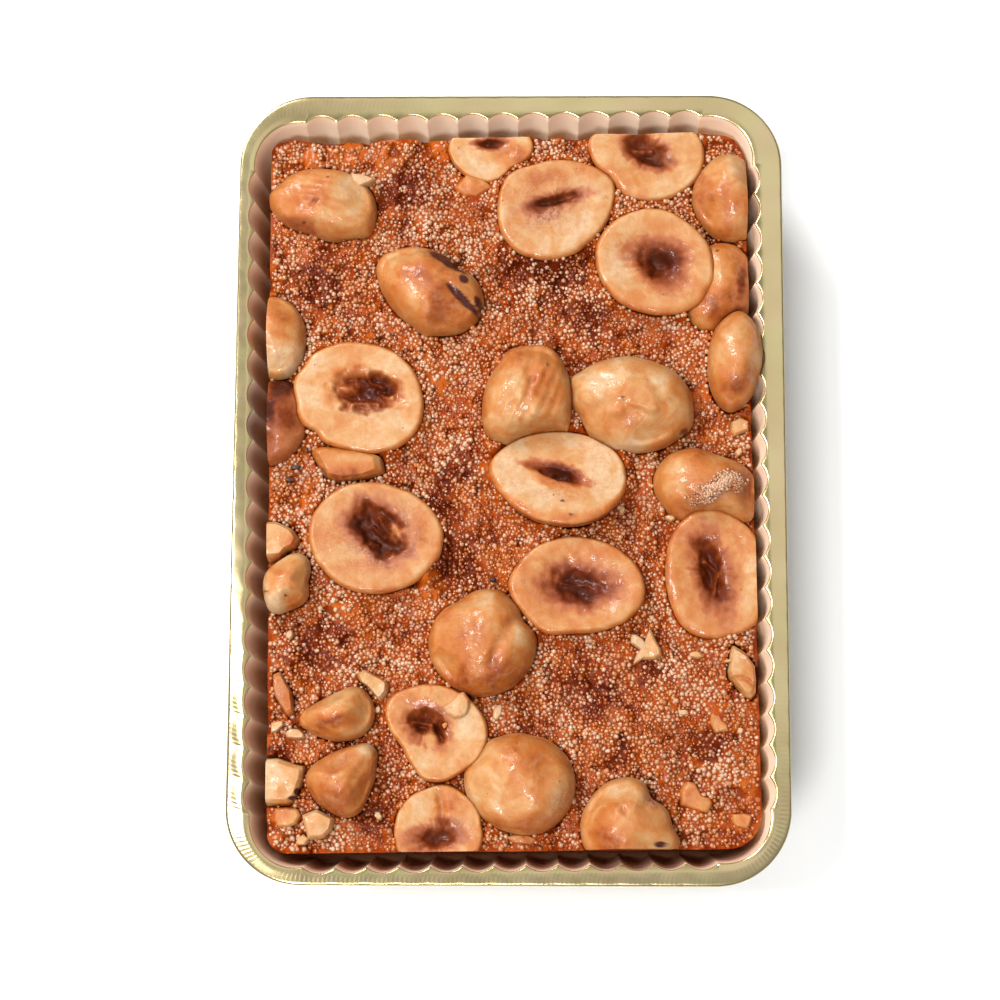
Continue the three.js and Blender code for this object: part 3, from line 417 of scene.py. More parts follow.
lay("piece", "piece_d", -30.2, -39.9, 8.0, 6.6, 1.8, 0.3, 75, warm=0.08, bumps=0.1,
    edges=((2.9, 0.5), (3.1, 2.3), (1.8, 2.6), (-0.8, 3.5), (-3.0, 3.4), (-3.0, -3.0),
           (0.8, -3.1), (1.9, -2.2), (2.4, -0.9)),
    spots=(("stain", 1.8, -2.1, 1.0, 0.35, 0, 1.0), ("stain", 2.0, -1.2, 0.5, 0.4, 60, 1.0),
           ("warm", -0.8, -1.2, 1.6, 1.4, 0, 0.3), ("warm", 0.0, -3.0, 2.0, 0.5, 0, 0.4)))
lay("piece", "piece_e", 31.0, -25.9, 8.6, 3.9, 2.2, 0.4, 118, warm=0.2, bumps=0.08,
    edges=((2.05, 0.9), (0.7, 2.9), (-1.1, 4.1), (-1.45, 2.9), (-1.8, 0.2), (-1.6, -0.8),
           (0.7, -3.6), (1.4, -3.9), (2.1, -2.9), (2.2, -1.1)),
    creases=((-0.6, -0.8, 1.6, -1.8, 0.3, 0.3), (-1.0, 3.0, 1.4, 1.2, 0.35, -0.3)),
    spots=(("warm", 0.4, -1.2, 1.6, 0.7, -20, 0.45), ("warm", 0.6, 0.5, 1.2, 1.4, 0, 0.2)))
lay("piece", "piece_f", -30.1, -28.2, 7.6, 2.6, 1.8, 0.4, 108, warm=0.66, bumps=0.03,
    edges=((1.05, 0.6), (0.3, 2.0), (-0.5, 3.5), (-1.6, 3.0), (-1.6, 1.4), (-1.2, -0.4),
           (-0.4, -1.7), (0.6, -3.1), (1.45, -2.7), (1.35, -1.2)),
    spots=(("bruise", -0.3, 1.0, 0.9, 2.4, 0, 0.25),))

# Small chips of nut, most on the slab and some on a nut: x, y, length, width, height, turn,
# how high they stand over the slab and, for those that show it well, their corners.
CHIPS = (
    (-4.2, 42.1, 6.2, 3.6, 0.9, 170, 0.2, ()),
    (-18.1, -27.0, 5.0, 4.0, 2.2, 130, 0.2,
     ((1.2, 0.9), (-1.2, 2.2), (-2.4, 1.8), (-2.0, 0.6), (-0.9, -0.2), (0.2, -1.4), (1.0, -2.5),
      (2.1, -1.2), (2.2, 0.2))),
    (-25.4, -45.5, 4.8, 4.3, 2.0, 20, 0.2,
     ((2.3, 0.9), (-0.3, 2.2), (-2.4, 1.4), (-2.0, -0.3), (-1.5, -2.0), (0.7, -1.9), (1.9, -0.7))),
    (18.7, -22.6, 5.6, 3.6, 1.0, 60, 0.35,
     ((1.9, 0.1), (1.2, 1.3), (0.4, 3.3), (-0.5, 1.0), (-1.3, 2.2), (-2.3, 2.2), (-2.4, 0.9),
      (-1.1, 0.0), (-1.8, -1.0), (-2.3, -2.7), (-1.0, -1.4), (1.0, -1.5), (2.0, -0.9))),
    (28.05, -32.15, 3.6, 2.5, 0.7, 110, 0.3,
     ((0.4, 1.0), (-0.4, 2.1), (-1.3, 1.0), (-1.3, -0.5), (-0.5, -1.8), (1.3, -1.7), (1.2, -0.9))),
    (24.6, -42.55, 4.8, 3.2, 0.7, 140, 0.3,
     ((2.2, 0.0), (1.05, 0.3), (0.7, 0.9), (0.0, 2.2), (-1.2, 2.5), (-2.1, 1.2), (-2.0, -0.8),
      (-0.3, -1.5), (1.05, -2.0), (1.8, -2.1), (2.4, -0.7))),
    (30.67, -45.5, 3.2, 2.1, 0.7, 10, 0.2,
     ((1.45, 0.7), (0.4, 1.05), (-1.3, 0.9), (-1.3, -0.2), (-0.8, -0.85), (0.8, -1.25),
      (1.3, -0.1))),
    (1.6, -47.6, 5.0, 1.5, 0.8, 175, 0.2, ()),
    (-29.7, -44.4, 4.0, 3.0, 0.9, 160, 0.2,
     ((2.0, 0.2), (1.6, 1.1), (0.0, 1.4), (-1.7, 1.3), (-1.8, -0.4), (-1.2, -1.3), (0.2, -1.5),
      (1.4, -1.0))),
    (31.8, 7.8, 3.6, 2.6, 1.2, 20, 0.2, ()),
    (-28.6, -33.5, 3.4, 1.8, 1.2, 150, 0.3,
     ((1.4, 0.1), (0.6, 0.8), (-0.7, 0.9), (-1.4, 0.3), (-1.2, -0.4), (0.4, -0.6), (1.5, -0.5))),
    (-31.0, -32.4, 2.0, 1.6, 1.0, 0, 0.3,
     ((1.0, 0.3), (0.9, 0.9), (-0.9, 0.6), (-0.9, -0.9), (-0.1, -0.7))),
    (-6.6, -30.1, 4.6, 3.6, 1.0, 70, 2.1,
     ((1.55, 0.9), (0.75, 2.1), (0.0, 1.9), (-1.3, 0.55), (-2.4, -0.2), (-1.65, -1.1),
      (-0.75, -1.75), (0.2, -1.75), (1.1, -1.3), (1.55, -0.2))),
    (-8.5, -32.6, 1.0, 0.8, 0.5, 70, 2.0, ()),
    (-19.5, 42.9, 3.6, 2.2, 1.0, 0, 2.0,
     ((2.1, 0.1), (-0.2, 0.8), (-1.7, 1.0), (-1.5, -0.4), (-0.5, -1.2), (0.9, -0.6))),
    (29.4, -24.4, 1.8, 0.5, 0.5, 12, 2.0, ()),
)
# Those without corners get this many, drawn within these shares of their even places.
CHIP_CORNERS = 6
CORNER_STRAY = (-0.32, 0.32)
CORNER_JAG = (0.8, 1.12)
CHIP_SEED = 41
FLAKE_SEED = 60
CRUMB_SEED = 80
# Flakes and crumbs are this high, and all small pieces this deep in the crumb.
FLAKE_HEIGHT = 0.6
CHIP_SUNK = 1.2
# Chips thinner than this let the crumb shine through.
CLEAR_UNDER = 0.95
# Crumb that stuck to a nut: its name and a crooked line over it, from the nut's middle.
CLUMP_NUT = "nut_back_j"
CLUMP_LINE = ((-1.3, -2.7), (0.6, -1.4), (2.3, -0.1), (3.0, 0.3), (4.4, -0.6))
CLUMP_HALF_WIDTH = 1.0
CLUMP_GRAINS = 1000
CLUMP_LAYERS = (0.05, 0.25, 0.45)
# These are smaller grains, and all of the palest kind.
CLUMP_SIZE = 0.65
CLUMP_LUCK = 0.9
# Flakes finer than the chips: x, y, length, width, turn.
FLAKES = (
    (22.2, -4.8, 1.8, 1.0, 160), (15.3, -3.2, 1.1, 0.8, 30), (-17.5, -30.3, 1.2, 0.9, 70),
    (-26.9, -5.0, 1.4, 1.2, 40), (-26.7, -8.6, 1.6, 0.9, 80), (32.2, 10.8, 2.1, 1.1, 5),
    (31.4, -5.4, 1.6, 1.0, 100), (25.1, -23.4, 2.4, 1.3, 170), (-1.5, -30.8, 3.0, 1.5, 80),
    (-17.5, -44.4, 1.5, 1.2, 120), (-29.4, -20.0, 1.8, 1.2, 80), (29.4, -23.0, 1.5, 0.4, 15),
    (32.0, -20.3, 2.4, 1.5, 40), (31.6, 4.2, 1.6, 1.1, 60), (30.8, -33.6, 1.2, 0.9, 80),
    (23.1, -31.1, 1.8, 1.0, 0), (-27.6, -47.6, 2.2, 1.6, 10), (15.6, -3.6, 1.4, 1.0, 60),
)
# Burnt crumbs: x, y, length, width, turn.
CRUMBS = (
    (-12.3, 17.7, 0.9, 0.6, 20), (-28.7, 2.9, 1.9, 1.0, 5), (-29.6, 1.1, 1.7, 0.6, -20),
    (-27.2, 5.2, 1.1, 0.4, -60), (31.2, -37.6, 0.5, 0.4, 0), (-2.0, -12.9, 0.9, 1.1, 80),
    (-8.5, -2.6, 0.6, 0.4, 10), (16.6, 24.6, 0.6, 0.4, 40), (-1.9, -29.0, 1.0, 0.6, 10),
)


def smooth(low, high, value):
    """An even ramp with soft ends, from 0 at `low` to 1 at `high`."""
    t = np.clip((value - low) / (high - low), 0, 1)
    return t * t * (3 - 2 * t)


def bell(value):
    """A bell curve: 1 at 0, and fading out on both sides."""
    return np.exp(-(value**2))


# Odd numbers that scatter a lattice point's place and seed, and the largest 32-bit number.
SCATTER = np.array([374761393, 668265263, 1274126177], np.uint32)
LARGEST = 4294967295.0


def lattice(i, j, seed):
    """A lattice point turned into an even value from 0 to 1, the same on every run."""
    i, j = (np.asarray(value, np.int64).astype(np.uint32) for value in (i, j))
    mixed = i * SCATTER[0] + j * SCATTER[1] + np.array([seed], np.uint32) * SCATTER[2]
    mixed = (mixed ^ (mixed >> np.uint32(13))) * SCATTER[2]
    return (mixed ^ (mixed >> np.uint32(16))) / LARGEST


def noise(x, y, size, seed):
    """Smooth noise from -1 to 1: values on a square lattice, mixed by soft ramps."""
    x, y = x / size, y / size
    i, j = np.floor(x), np.floor(y)
    u, v = smooth(0, 1, x - i), smooth(0, 1, y - j)
    near = lattice(i, j, seed) * (1 - u) + lattice(i + 1, j, seed) * u
    far = lattice(i, j + 1, seed) * (1 - u) + lattice(i + 1, j + 1, seed) * u
    return 2 * (near * (1 - v) + far * v) - 1


def layered(x, y, *layers, seed=0):
    """Layers of noise added up: each has its share, its size and its own seed on top of `seed`."""
    return sum(share * noise(x, y, size, seed + own) for share, size, own in layers)


def ring_faces(rows, columns):
    """Quads between neighbouring closed rings, each ring `columns` points long."""
    row = np.arange(rows - 1)[:, None] * columns
    here = np.arange(columns)[None, :]
    there = (here + 1) % columns
    quads = [row + here, row + columns + here, row + columns + there, row + there]
    return np.stack(quads, axis=-1).reshape(-1, 4)


def fan_faces(tip, ring, flip=False):
    """Triangles from one point to each edge of a closed ring."""
    after = np.roll(ring, -1)
    pair = (after, ring) if flip else (ring, after)
    return np.stack([np.full_like(ring, tip), *pair], axis=-1)


def closed_skin(rings, first_tip, last_tip, flip=False):
    """The points, quads and triangles of a closed skin: rings of equally many points, each
    joined to the next, and a tip over the first and the last one."""
    points = np.vstack([*rings, [first_tip], [last_tip]])
    first = np.arange(len(rings[0]))
    last = first + (len(rings) - 1) * len(first)
    quads = ring_faces(len(rings), len(first))
    fans = np.vstack([
        fan_faces(len(points) - 2, first, not flip),
        fan_faces(len(points) - 1, last, flip),
    ])
    return points, quads if flip else quads[:, ::-1], fans


def turned(x, y, turn):
    """A place turned about the middle by an angle in radians, from +X towards +Y."""
    cos, sin = np.cos(turn), np.sin(turn)
    return x * cos - y * sin, x * sin + y * cos


def add_piece(name, skin, marks, material, node, crease=None):
    """A mesh object in place of a solid, with its material and slot, riding on the body. Its
    skin is points in millimetres from the pan's middle, quads and triangles, and its marks are
    values painted on its points, each under its own name."""
    points, quads, triangles = skin
    place = (np.asarray(points, float) + [PAN_X, PAN_Y, 0]) * MM
    corners = np.concatenate([np.ravel(quads), np.ravel(triangles)]).astype(np.int32)
    lengths = np.repeat([4, 3], [len(quads), len(triangles)])
    mesh = bpy.data.meshes.new(name)
    mesh.vertices.add(len(place))
    mesh.vertices.foreach_set("co", place.astype(np.float32).ravel())
    mesh.loops.add(len(corners))
    mesh.loops.foreach_set("vertex_index", corners)
    mesh.polygons.add(len(lengths))
    mesh.polygons.foreach_set("loop_start", (np.cumsum(lengths) - lengths).astype(np.int32))
    mesh.update(calc_edges=True)
    mesh.validate()
    mesh.polygons.foreach_set("use_smooth", np.ones(len(mesh.polygons), bool))
    if crease is not None:
        mesh.set_sharp_from_angle(angle=math.radians(crease))
    for label, values in marks.items():
        layer = mesh.attributes.new(label, "FLOAT", "POINT")
        layer.data.foreach_set("value", np.asarray(values, np.float32).ravel())
    mesh.materials.append(material)
    piece = bpy.data.objects.new(name, mesh)
    bpy.context.scene.collection.objects.link(piece)
    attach(piece, "root")
    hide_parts(node)


def broken_corners(nut):
    """The corners of a broken piece, in millimetres from its middle: its own, or uneven ones
    drawn by its seed round its ellipse."""
    if nut.edges:
        return np.array(nut.edges, float)
    draw = np.random.default_rng(nut.seed)
    step = np.arange(CHIP_CORNERS) + draw.uniform(*CORNER_STRAY, CHIP_CORNERS)
    turn = 2 * math.pi * step / CHIP_CORNERS
    jag = draw.uniform(*CORNER_JAG, CHIP_CORNERS)
    u, v = jag * np.cos(turn) * nut.length / 2, jag * np.sin(turn) * nut.width / 2
    return np.column_stack(turned(u, v, math.radians(nut.turn)))


def broken_reach(corners, toward):
    """How far a ray from the middle goes until it meets the straight line between the corners
    on either side of it."""
    angles = np.arctan2(corners[:, 1], corners[:, 0])
    order = np.argsort(angles)
    x, y = np.vstack([corners[order], corners[order[:1]]]).T
    wrapped = np.arctan2(np.sin(toward), np.cos(toward))
    at = np.mod(np.searchsorted(angles[order], wrapped, side="right") - 1, len(corners))
    dx, dy = x[at + 1] - x[at], y[at + 1] - y[at]
    return (x[at] * dy - y[at] * dx) / (np.cos(toward) * dy - np.sin(toward) * dx)


def off_by(toward, degrees):
    """The angle between each direction and a given one, in degrees from 0 to 180."""
    return np.abs(np.mod(np.degrees(toward) - degrees + 180, 360) - 180)


def outline(nut, toward):
    """How far a nut reaches from its middle towards each direction, in millimetres: between its
    corners, softened, or round an ellipse with a bell curve for the blunt point at its tip, a
    three-lobed wobble, its dents and a fine uneven edge."""
    if nut.shape == "piece" or nut.edges:
        soften = PIECE_SOFTNESS if nut.shape == "piece" else BACK_SOFTNESS
        corners = broken_corners(nut)
        turns = (-soften, -soften / 2, 0, soften / 2, soften)
        return sum(broken_reach(corners, toward + turn) for turn in turns) / len(turns)
    along = toward - math.radians(nut.turn)
    half_long, half_wide = nut.length / 2, nut.width / 2
    angle = np.arctan2(np.sin(along) / half_wide, np.cos(along) / half_long)
    oval = 1 / np.hypot(np.cos(along) / half_long, np.sin(along) / half_wide)
    tip = 1 + nut.point * bell(angle / TIP_WIDTH)
    wobble = 1 + nut.uneven * np.sin(3 * angle + nut.seed * 1.7)
    edge = 1 + FINE_EDGE * noise(4 * np.cos(angle) + 9, 4 * np.sin(angle) + 9, 1.0, nut.seed)
    for direction, share, spread in nut.dents:
        edge = edge * (1 + share * bell(off_by(toward, direction) / spread))
    return oval * tip * wobble * edge


def share_out(nut, x, y, grow=0.0):
    """How far out a place lies from a nut's middle: 0 there and 1 on its outline."""
    dx, dy = x - nut.x, y - nut.y
    return np.hypot(dx, dy) / (outline(nut, np.arctan2(dy, dx)) + grow)


def seen_from(nut, x, y):
    """How far out a place lies from a nut's middle, at most 1, and in which direction."""
    return np.clip(share_out(nut, x, y), 0, 1), np.arctan2(y - nut.y, x - nut.x)


def underside(nut, share):
    """The height of a nut's underside over the slab: half an ellipsoid under a half lying on
    its back, and level under the rest."""
    if nut.shape == "half":
        round_part = np.sqrt(np.clip(1 - share**2, 0, 1))
        return nut.rise - EDGE_DROP - (nut.height - EDGE_DROP) * round_part
    return np.full_like(share, nut.rise - nut.sunk)


def near_nuts(x, y, far):
    """Each nut with the places near it, which lie within a share of its length and `far`."""
    for nut in NUTS:
        near = np.hypot(x - nut.x, y - nut.y) < nut.length * NUT_REACH + far
        if near.any():
            yield nut, near


def bank_height(x, y):
    """How high the crumb is heaped against the nuts: most right at an outline and nothing a
    little way off, more in some places than in others."""
    heap = np.zeros_like(x)
    for nut, near in near_nuts(x, y, BANK_REACH + 1):
        nx, ny = x[near], y[near]
        dx, dy = nx - nut.x, ny - nut.y
        outside = np.hypot(dx, dy) - outline(nut, np.arctan2(dy, dx))
        high = max(nut.rise - BRIM_DROP if nut.shape == "half" else BANK_HEIGHT, LOWEST_BANK)
        uneven = 0.72 + 0.4 * noise(nx, ny, 2.6, 27)
        heap[near] = np.maximum(heap[near], high * uneven * smooth(BANK_REACH, 0, outside))
    return heap


def hollows(x, y):
    """Where the crumb is broken open in small pits and cracks, 1 at their bottom. They crowd in
    some places and are few in others."""
    return smooth(0.2, 0.6, layered(x, y, *HOLLOWS))


def bare_height(x, y):
    """The crumbly top before nuts are set in it: lumps, crags, banks, pits and grain-sized
    relief."""
    height = SLAB_TOP + layered(x, y, LUMPS, CRAGS) + bank_height(x, y)
    return height - HOLLOW_DEPTH * hollows(x, y) + layered(x, y, *FINE_CRUMB)


def pocket_height(x, y, height):
    """The top with a pit for every nut: within each outline it drops to the nut's underside."""
    height = height.copy()
    for nut, near in near_nuts(x, y, 2.0):
        share = share_out(nut, x[near], y[near], 0.1)
        floor = SLAB_TOP + underside(nut, np.clip(share, 0, 1)) - TOUCH_GAP
        lip = smooth(1.0, 0.92, share)
        before = height[near]
        after = np.minimum(before, before + (floor - before) * lip)
        height[near] = np.where(share < 1, after, before)
    return height


def patches(places, x, y, wobble, seed):
    """Soft patches with ragged edges, 1 at each middle and fading to 0 at its radius."""
    ragged = wobble * layered(x, y, (1, 1.7, 0), (0.7, 0.8, 1), seed=seed)
    best = np.zeros_like(x)
    for px, py, radius in places:
        far = np.hypot(x - px, y - py) / radius + ragged
        best = np.maximum(best, smooth(1.1, 0.4, far))
    return best


# Tray.


def pan_track():
    """The line round the pan: where each point's straight side or corner is centred, which way
    is out, how far a flute swells there, and how far along the ribs it is."""
    sides = (
        ((HALF_ACROSS, 0), (0, 1), FLUTES_ALONG),
        ((0, HALF_ALONG), (-1, 0), FLUTES_ACROSS),
        ((-HALF_ACROSS, 0), (0, -1), FLUTES_ALONG),
        ((0, -HALF_ALONG), (1, 0), FLUTES_ACROSS),
    )
    base, out, swell, rib = [], [], [], []
    per_flute = RIBS_PER_FLUTE * STEPS_PER_RIB
    per_corner = RIBS_PER_CORNER * STEPS_PER_RIB
    for middle, along, count in sides:
        middle, along = np.array(middle, float), np.array(along, float)
        outward = np.array([along[1], -along[0]])
        step = np.arange(count * per_flute) / per_flute
        base.append(middle + along * ((step - count / 2) * FLUTE_PITCH)[:, None])
        out.append(np.tile(outward, (len(step), 1)))
        swell.append(1 - (2 * (step % 1) - 1) ** 2)
        rib.append(step * RIBS_PER_FLUTE)
        share = np.arange(per_corner) / per_corner
        turn = (share * math.pi / 2)[:, None]
        base.append(np.tile(middle + along * count * FLUTE_PITCH / 2, (per_corner, 1)))
        out.append(outward * np.cos(turn) + along * np.sin(turn))
        swell.append(CORNER_BULGE * np.sin(2 * turn[:, 0]))
        rib.append(share * RIBS_PER_CORNER)
    return np.vstack(base), np.vstack(out), np.concatenate(swell), np.concatenate(rib)


def pan_ring(track, outset, flutes, z):
    """The pan's track moved outwards by an outset and a share of the swell of its flutes."""
    base, out, swell, _ = track
    grow = CORNER_RADIUS + outset + flutes * FLUTE_DEPTH * swell
    return np.column_stack([base + out * grow[:, None], np.broadcast_to(z, len(base))])


def rim_edge(track, width, z):
    """The rim's outline at a width, a little askew to the pan."""
    base, out, _, _ = track
    x, y = turned(*(base + out * (CORNER_RADIUS + width)).T, TRIM_TURN)
    return np.column_stack([x - PAN_X, y - PAN_Y, np.broadcast_to(z, len(x))])


def rim_face(track, inner, outer, sag):
    """The rim's upper face as rings that run evenly from its edge to the flutes. It falls off
    at its edge, dips beside each cusp and is ribbed along its middle, most at the near end. Also
    the painted shade beside each cusp and along the outer fold, and the painted highlight on the
    rounded inner edge."""
    _, out, swell, rib = track
    corner = np.abs(out[:, 0] * out[:, 1]) > 1e-6
    x, y = inner[:, 0], inner[:, 1]
    ribbed = 0.12 + 0.88 * smooth(-26, -44, y + 0.35 * x + 6 * noise(x, y, 14.0, 31))
    rings, painted_rim_shade, painted_brow_highlights = [], [], []
    for share in RIM_SHARES:
        top = inner * (1 - share) + outer * share
        from_cusps = (1 - share) * FLUTE_DEPTH * swell + share * RIM_WIDTH
        past = max(0, share - RIM_ROUNDS_FROM) / (1 - RIM_ROUNDS_FROM)
        fall = RIM_CROWN * (1 - math.sqrt(1 - past**2)) + RIM_DISH * (share - 0.45) ** 2
        at_corner = CORNER_DIP * max(0, 1 - share / CORNER_DIP_REACH) ** DIP_POWER
        at_cusp = CUSP_DIP * np.clip(1 - from_cusps / CUSP_DIP_REACH, 0, 1) ** DIP_POWER
        roll = RIM_ROLL * max(0, 1 - share / 0.06) ** 2
        band = smooth(0.28, 0.42, share) * smooth(0.88, 0.74, share)
        ribs = RIB_HEIGHT * ribbed * np.cos(2 * math.pi * rib) * band
        dents = DENT_DEPTH * (noise(top[:, 0], top[:, 1], 9.0, 33) - 1)
        low = fall + np.where(corner, at_corner, at_cusp) + roll + sag * smooth(0.1, 1.0, share)
        top[:, 2] = TRAY_DEPTH - 0.03 - low + np.minimum(ribs + dents, 0.02)
        rings.append(top)
        # Painted shade: the gold is darkened beside each cusp and along the outer fold.
        near_cusp = np.clip(1.15 - from_cusps / CUSP_DIP_REACH, 0, 1)
        shaded = np.where(corner, 0.0, near_cusp * smooth(0.02, 0.08, share))
        painted_rim_shade.append(np.maximum(shaded, 0.6 * smooth(0.9, 0.97, share)))
        # Painted highlight: the rounded inner edge is painted paler.
        painted_brow_highlights.append(np.full(len(top), smooth(0.09, 0.02, share)))
    return rings, np.concatenate(painted_rim_shade), np.concatenate(painted_brow_highlights)


def tray_film():
    """The film as one closed skin: rings up the outside, round the lip, over the rim, down the
    fluted wall and across the floor."""
    track = pan_track()
    under, lip = TRAY_DEPTH - FILM, TRAY_DEPTH - RIM_LIP
    rings = [
        pan_ring(track, -WALL_DRAFT - FOOT_ROUND + FILM / 2, 0.6, 0.0),
        pan_ring(track, -WALL_DRAFT - 0.4, 0.9, 0.35),
    ]
    for share in OUTSIDE_SHARES:
        outset = FILM - WALL_DRAFT * (1 - share)
        rings.append(pan_ring(track, outset, 1, FOOT_ROUND + (under - FOOT_ROUND) * share))
    outside = len(rings)
    inner, outer = pan_ring(track, 0, 1, TRAY_DEPTH), rim_edge(track, RIM_WIDTH, TRAY_DEPTH)
    sag = RIM_SAG * bell((outer[:, 1] - RIM_SAG_AT) / RIM_SAG_REACH)
    sag = sag * smooth(-25, -36, outer[:, 0])
    for inset, z in (
        (FILM, under), (FILM, lip + 0.15), (0.3, lip), (0.08, lip + 0.06), (0, lip + 0.25),
        (0, TRAY_DEPTH - 0.42),
    ):
        rings.append(rim_edge(track, RIM_WIDTH - inset, z - sag))
    lips = len(rings)
    face, painted_rim_shade, painted_brow_highlights = rim_face(track, inner, outer, sag)
    rings += face

    top, foot = TRAY_DEPTH - 0.35, FILM + FOOT_ROUND
    for share in WALL_SHARES:
        wave = WALL_WAVE * noise(inner[:, 0], inner[:, 1], 6.0, 35) * math.sin(math.pi * share)
        outset = -WALL_DRAFT * share - 0.02 + wave
        rings.append(pan_ring(track, outset, 1, top + (foot - top) * share))
    for share in FOOT_SHARES:
        outset = -WALL_DRAFT - FOOT_ROUND * (1 - math.sqrt(1 - share**2))
        rings.append(pan_ring(track, outset, 1 - 0.4 * share, foot - FOOT_ROUND * share))
    rings.append(pan_ring(track, -WALL_DRAFT - FLOOR_INSET, 0, FILM))
    points, quads, fans = closed_skin(rings, (0, 0, 0), (0, 0, FILM))

    columns = len(inner)
    on_rim = slice(lips * columns, (lips + len(face)) * columns)
    wall, cusp, brow = np.ones(len(points)), np.zeros(len(points)), np.zeros(len(points))
    wall[: on_rim.stop] = 0
    wall[: outside * columns] = 0.1
    # The painted shade beside each cusp and along the outer fold.
    cusp[on_rim] = painted_rim_shade
    # The painted highlight on the rounded inner edge.
    brow[on_rim] = painted_brow_highlights
    x, y, z = points.T
    share_down = np.clip((TRAY_DEPTH - z) / TRAY_DEPTH, 0, 1)
    # Painted shade and a painted reflection of the brown slab: the near wall and the left one are
    # painted brown where they lie in shade beside the slab.
    wet = np.maximum(0.62 * smooth(-45, -51, y), 0.45 * smooth(-29, -34, x))
    add_piece("tray_film", (points, quads, fans), {
        "wall": wall,
        # cusp carries the painted shade beside each cusp and along the outer fold.
        "cusp": cusp,
        # brow carries the painted highlight on the rounded inner edge.
        "brow": brow,
        # depth carries the painted light and reflection down the walls.
        "depth": share_down * wall,
        # wet carries the painted shade and reflection in brown on the near and left walls.
        "wet": wet * wall * smooth(0.03, 0.25, share_down),
    }, gold_film(), "tray")


# Slab.


def side_inset(z):
    """How far the knife-cut side leans in at a height: a straight taper and a rounded foot."""
    lean = SLAB_TAPER / (SLAB_TOP - SLAB_FOOT)
    round_foot = np.maximum(0, SLAB_FOOT + SLAB_FOOT_ROUND - z)
    return np.maximum(0, SLAB_TOP - z) * lean + round_foot


def corner_radius(x, y):
    """The radius of the slab's corner nearest to each place."""
    radius = np.zeros(np.broadcast(x, y).shape)
    for (sign_x, sign_y), value in SLAB_CORNERS.items():
        near = (np.where(x >= SLAB_MIDDLE_X, 1, -1) == sign_x) & (np.where(y >= 0, 1, -1) == sign_y)
        radius = np.where(near, value, radius)
    return radius


def side_reach(y, sign_x, inset=0.0):
    """How far the slab reaches along X on one side at each Y, round its corners."""
    sign_y = np.where(y >= 0, 1, -1)
    radius = np.where(sign_y > 0, SLAB_CORNERS[(sign_x, 1)], SLAB_CORNERS[(sign_x, -1)])
    into = np.maximum(0, np.abs(y) - (SLAB_HALF_Y - inset - radius))
    bend = radius - np.sqrt(np.clip(radius**2 - into**2, 0, None))
    return SLAB_HALF_X - inset - bend


def slab_rows():
    """Y of the top's rows: even, and closer together at both ends where the corners bend."""
    end = ROW_CROWD * (np.arange(CROWDED_ROWS) / CROWDED_ROWS) ** 1.8
    middle = np.arange(ROW_CROWD, 2 * SLAB_HALF_Y - ROW_CROWD, ROW_PITCH)
    return np.concatenate([end, middle, 2 * SLAB_HALF_Y - end[::-1]]) - SLAB_HALF_Y


def slab_sides(edge):
    """Rings down the slab's cut sides from its top edge: each point moves in along its own
    outward direction, by the side's slope and by the pores of the cut crumb."""
    radius = corner_radius(edge[:, 0], edge[:, 1])
    into_x, into_y = SLAB_HALF_X - radius, SLAB_HALF_Y - radius
    out = np.column_stack([
        edge[:, 0] - np.clip(edge[:, 0], SLAB_MIDDLE_X - into_x, SLAB_MIDDLE_X + into_x),
        edge[:, 1] - np.clip(edge[:, 1], -into_y, into_y),
    ])
    out /= np.linalg.norm(out, axis=1)[:, None]
    along = edge[:, 0] - edge[:, 1]
    rings = []
    for share in SIDE_SHARES:
        height = edge[:, 2] + (SLAB_FOOT - edge[:, 2]) * share
        pores = np.clip(noise(along, height, 1.3, 14) + 0.3, 0, 1.3)
        pits = 0.14 * pores + 0.08 * np.clip(noise(along, height, 0.6, 15), 0, 1)
        inset = side_inset(height) + pits * min(1, 12 * (1 - share) + 0.1)
        rings.append(np.column_stack([edge[:, :2] - out * inset[:, None], height]))
    return rings


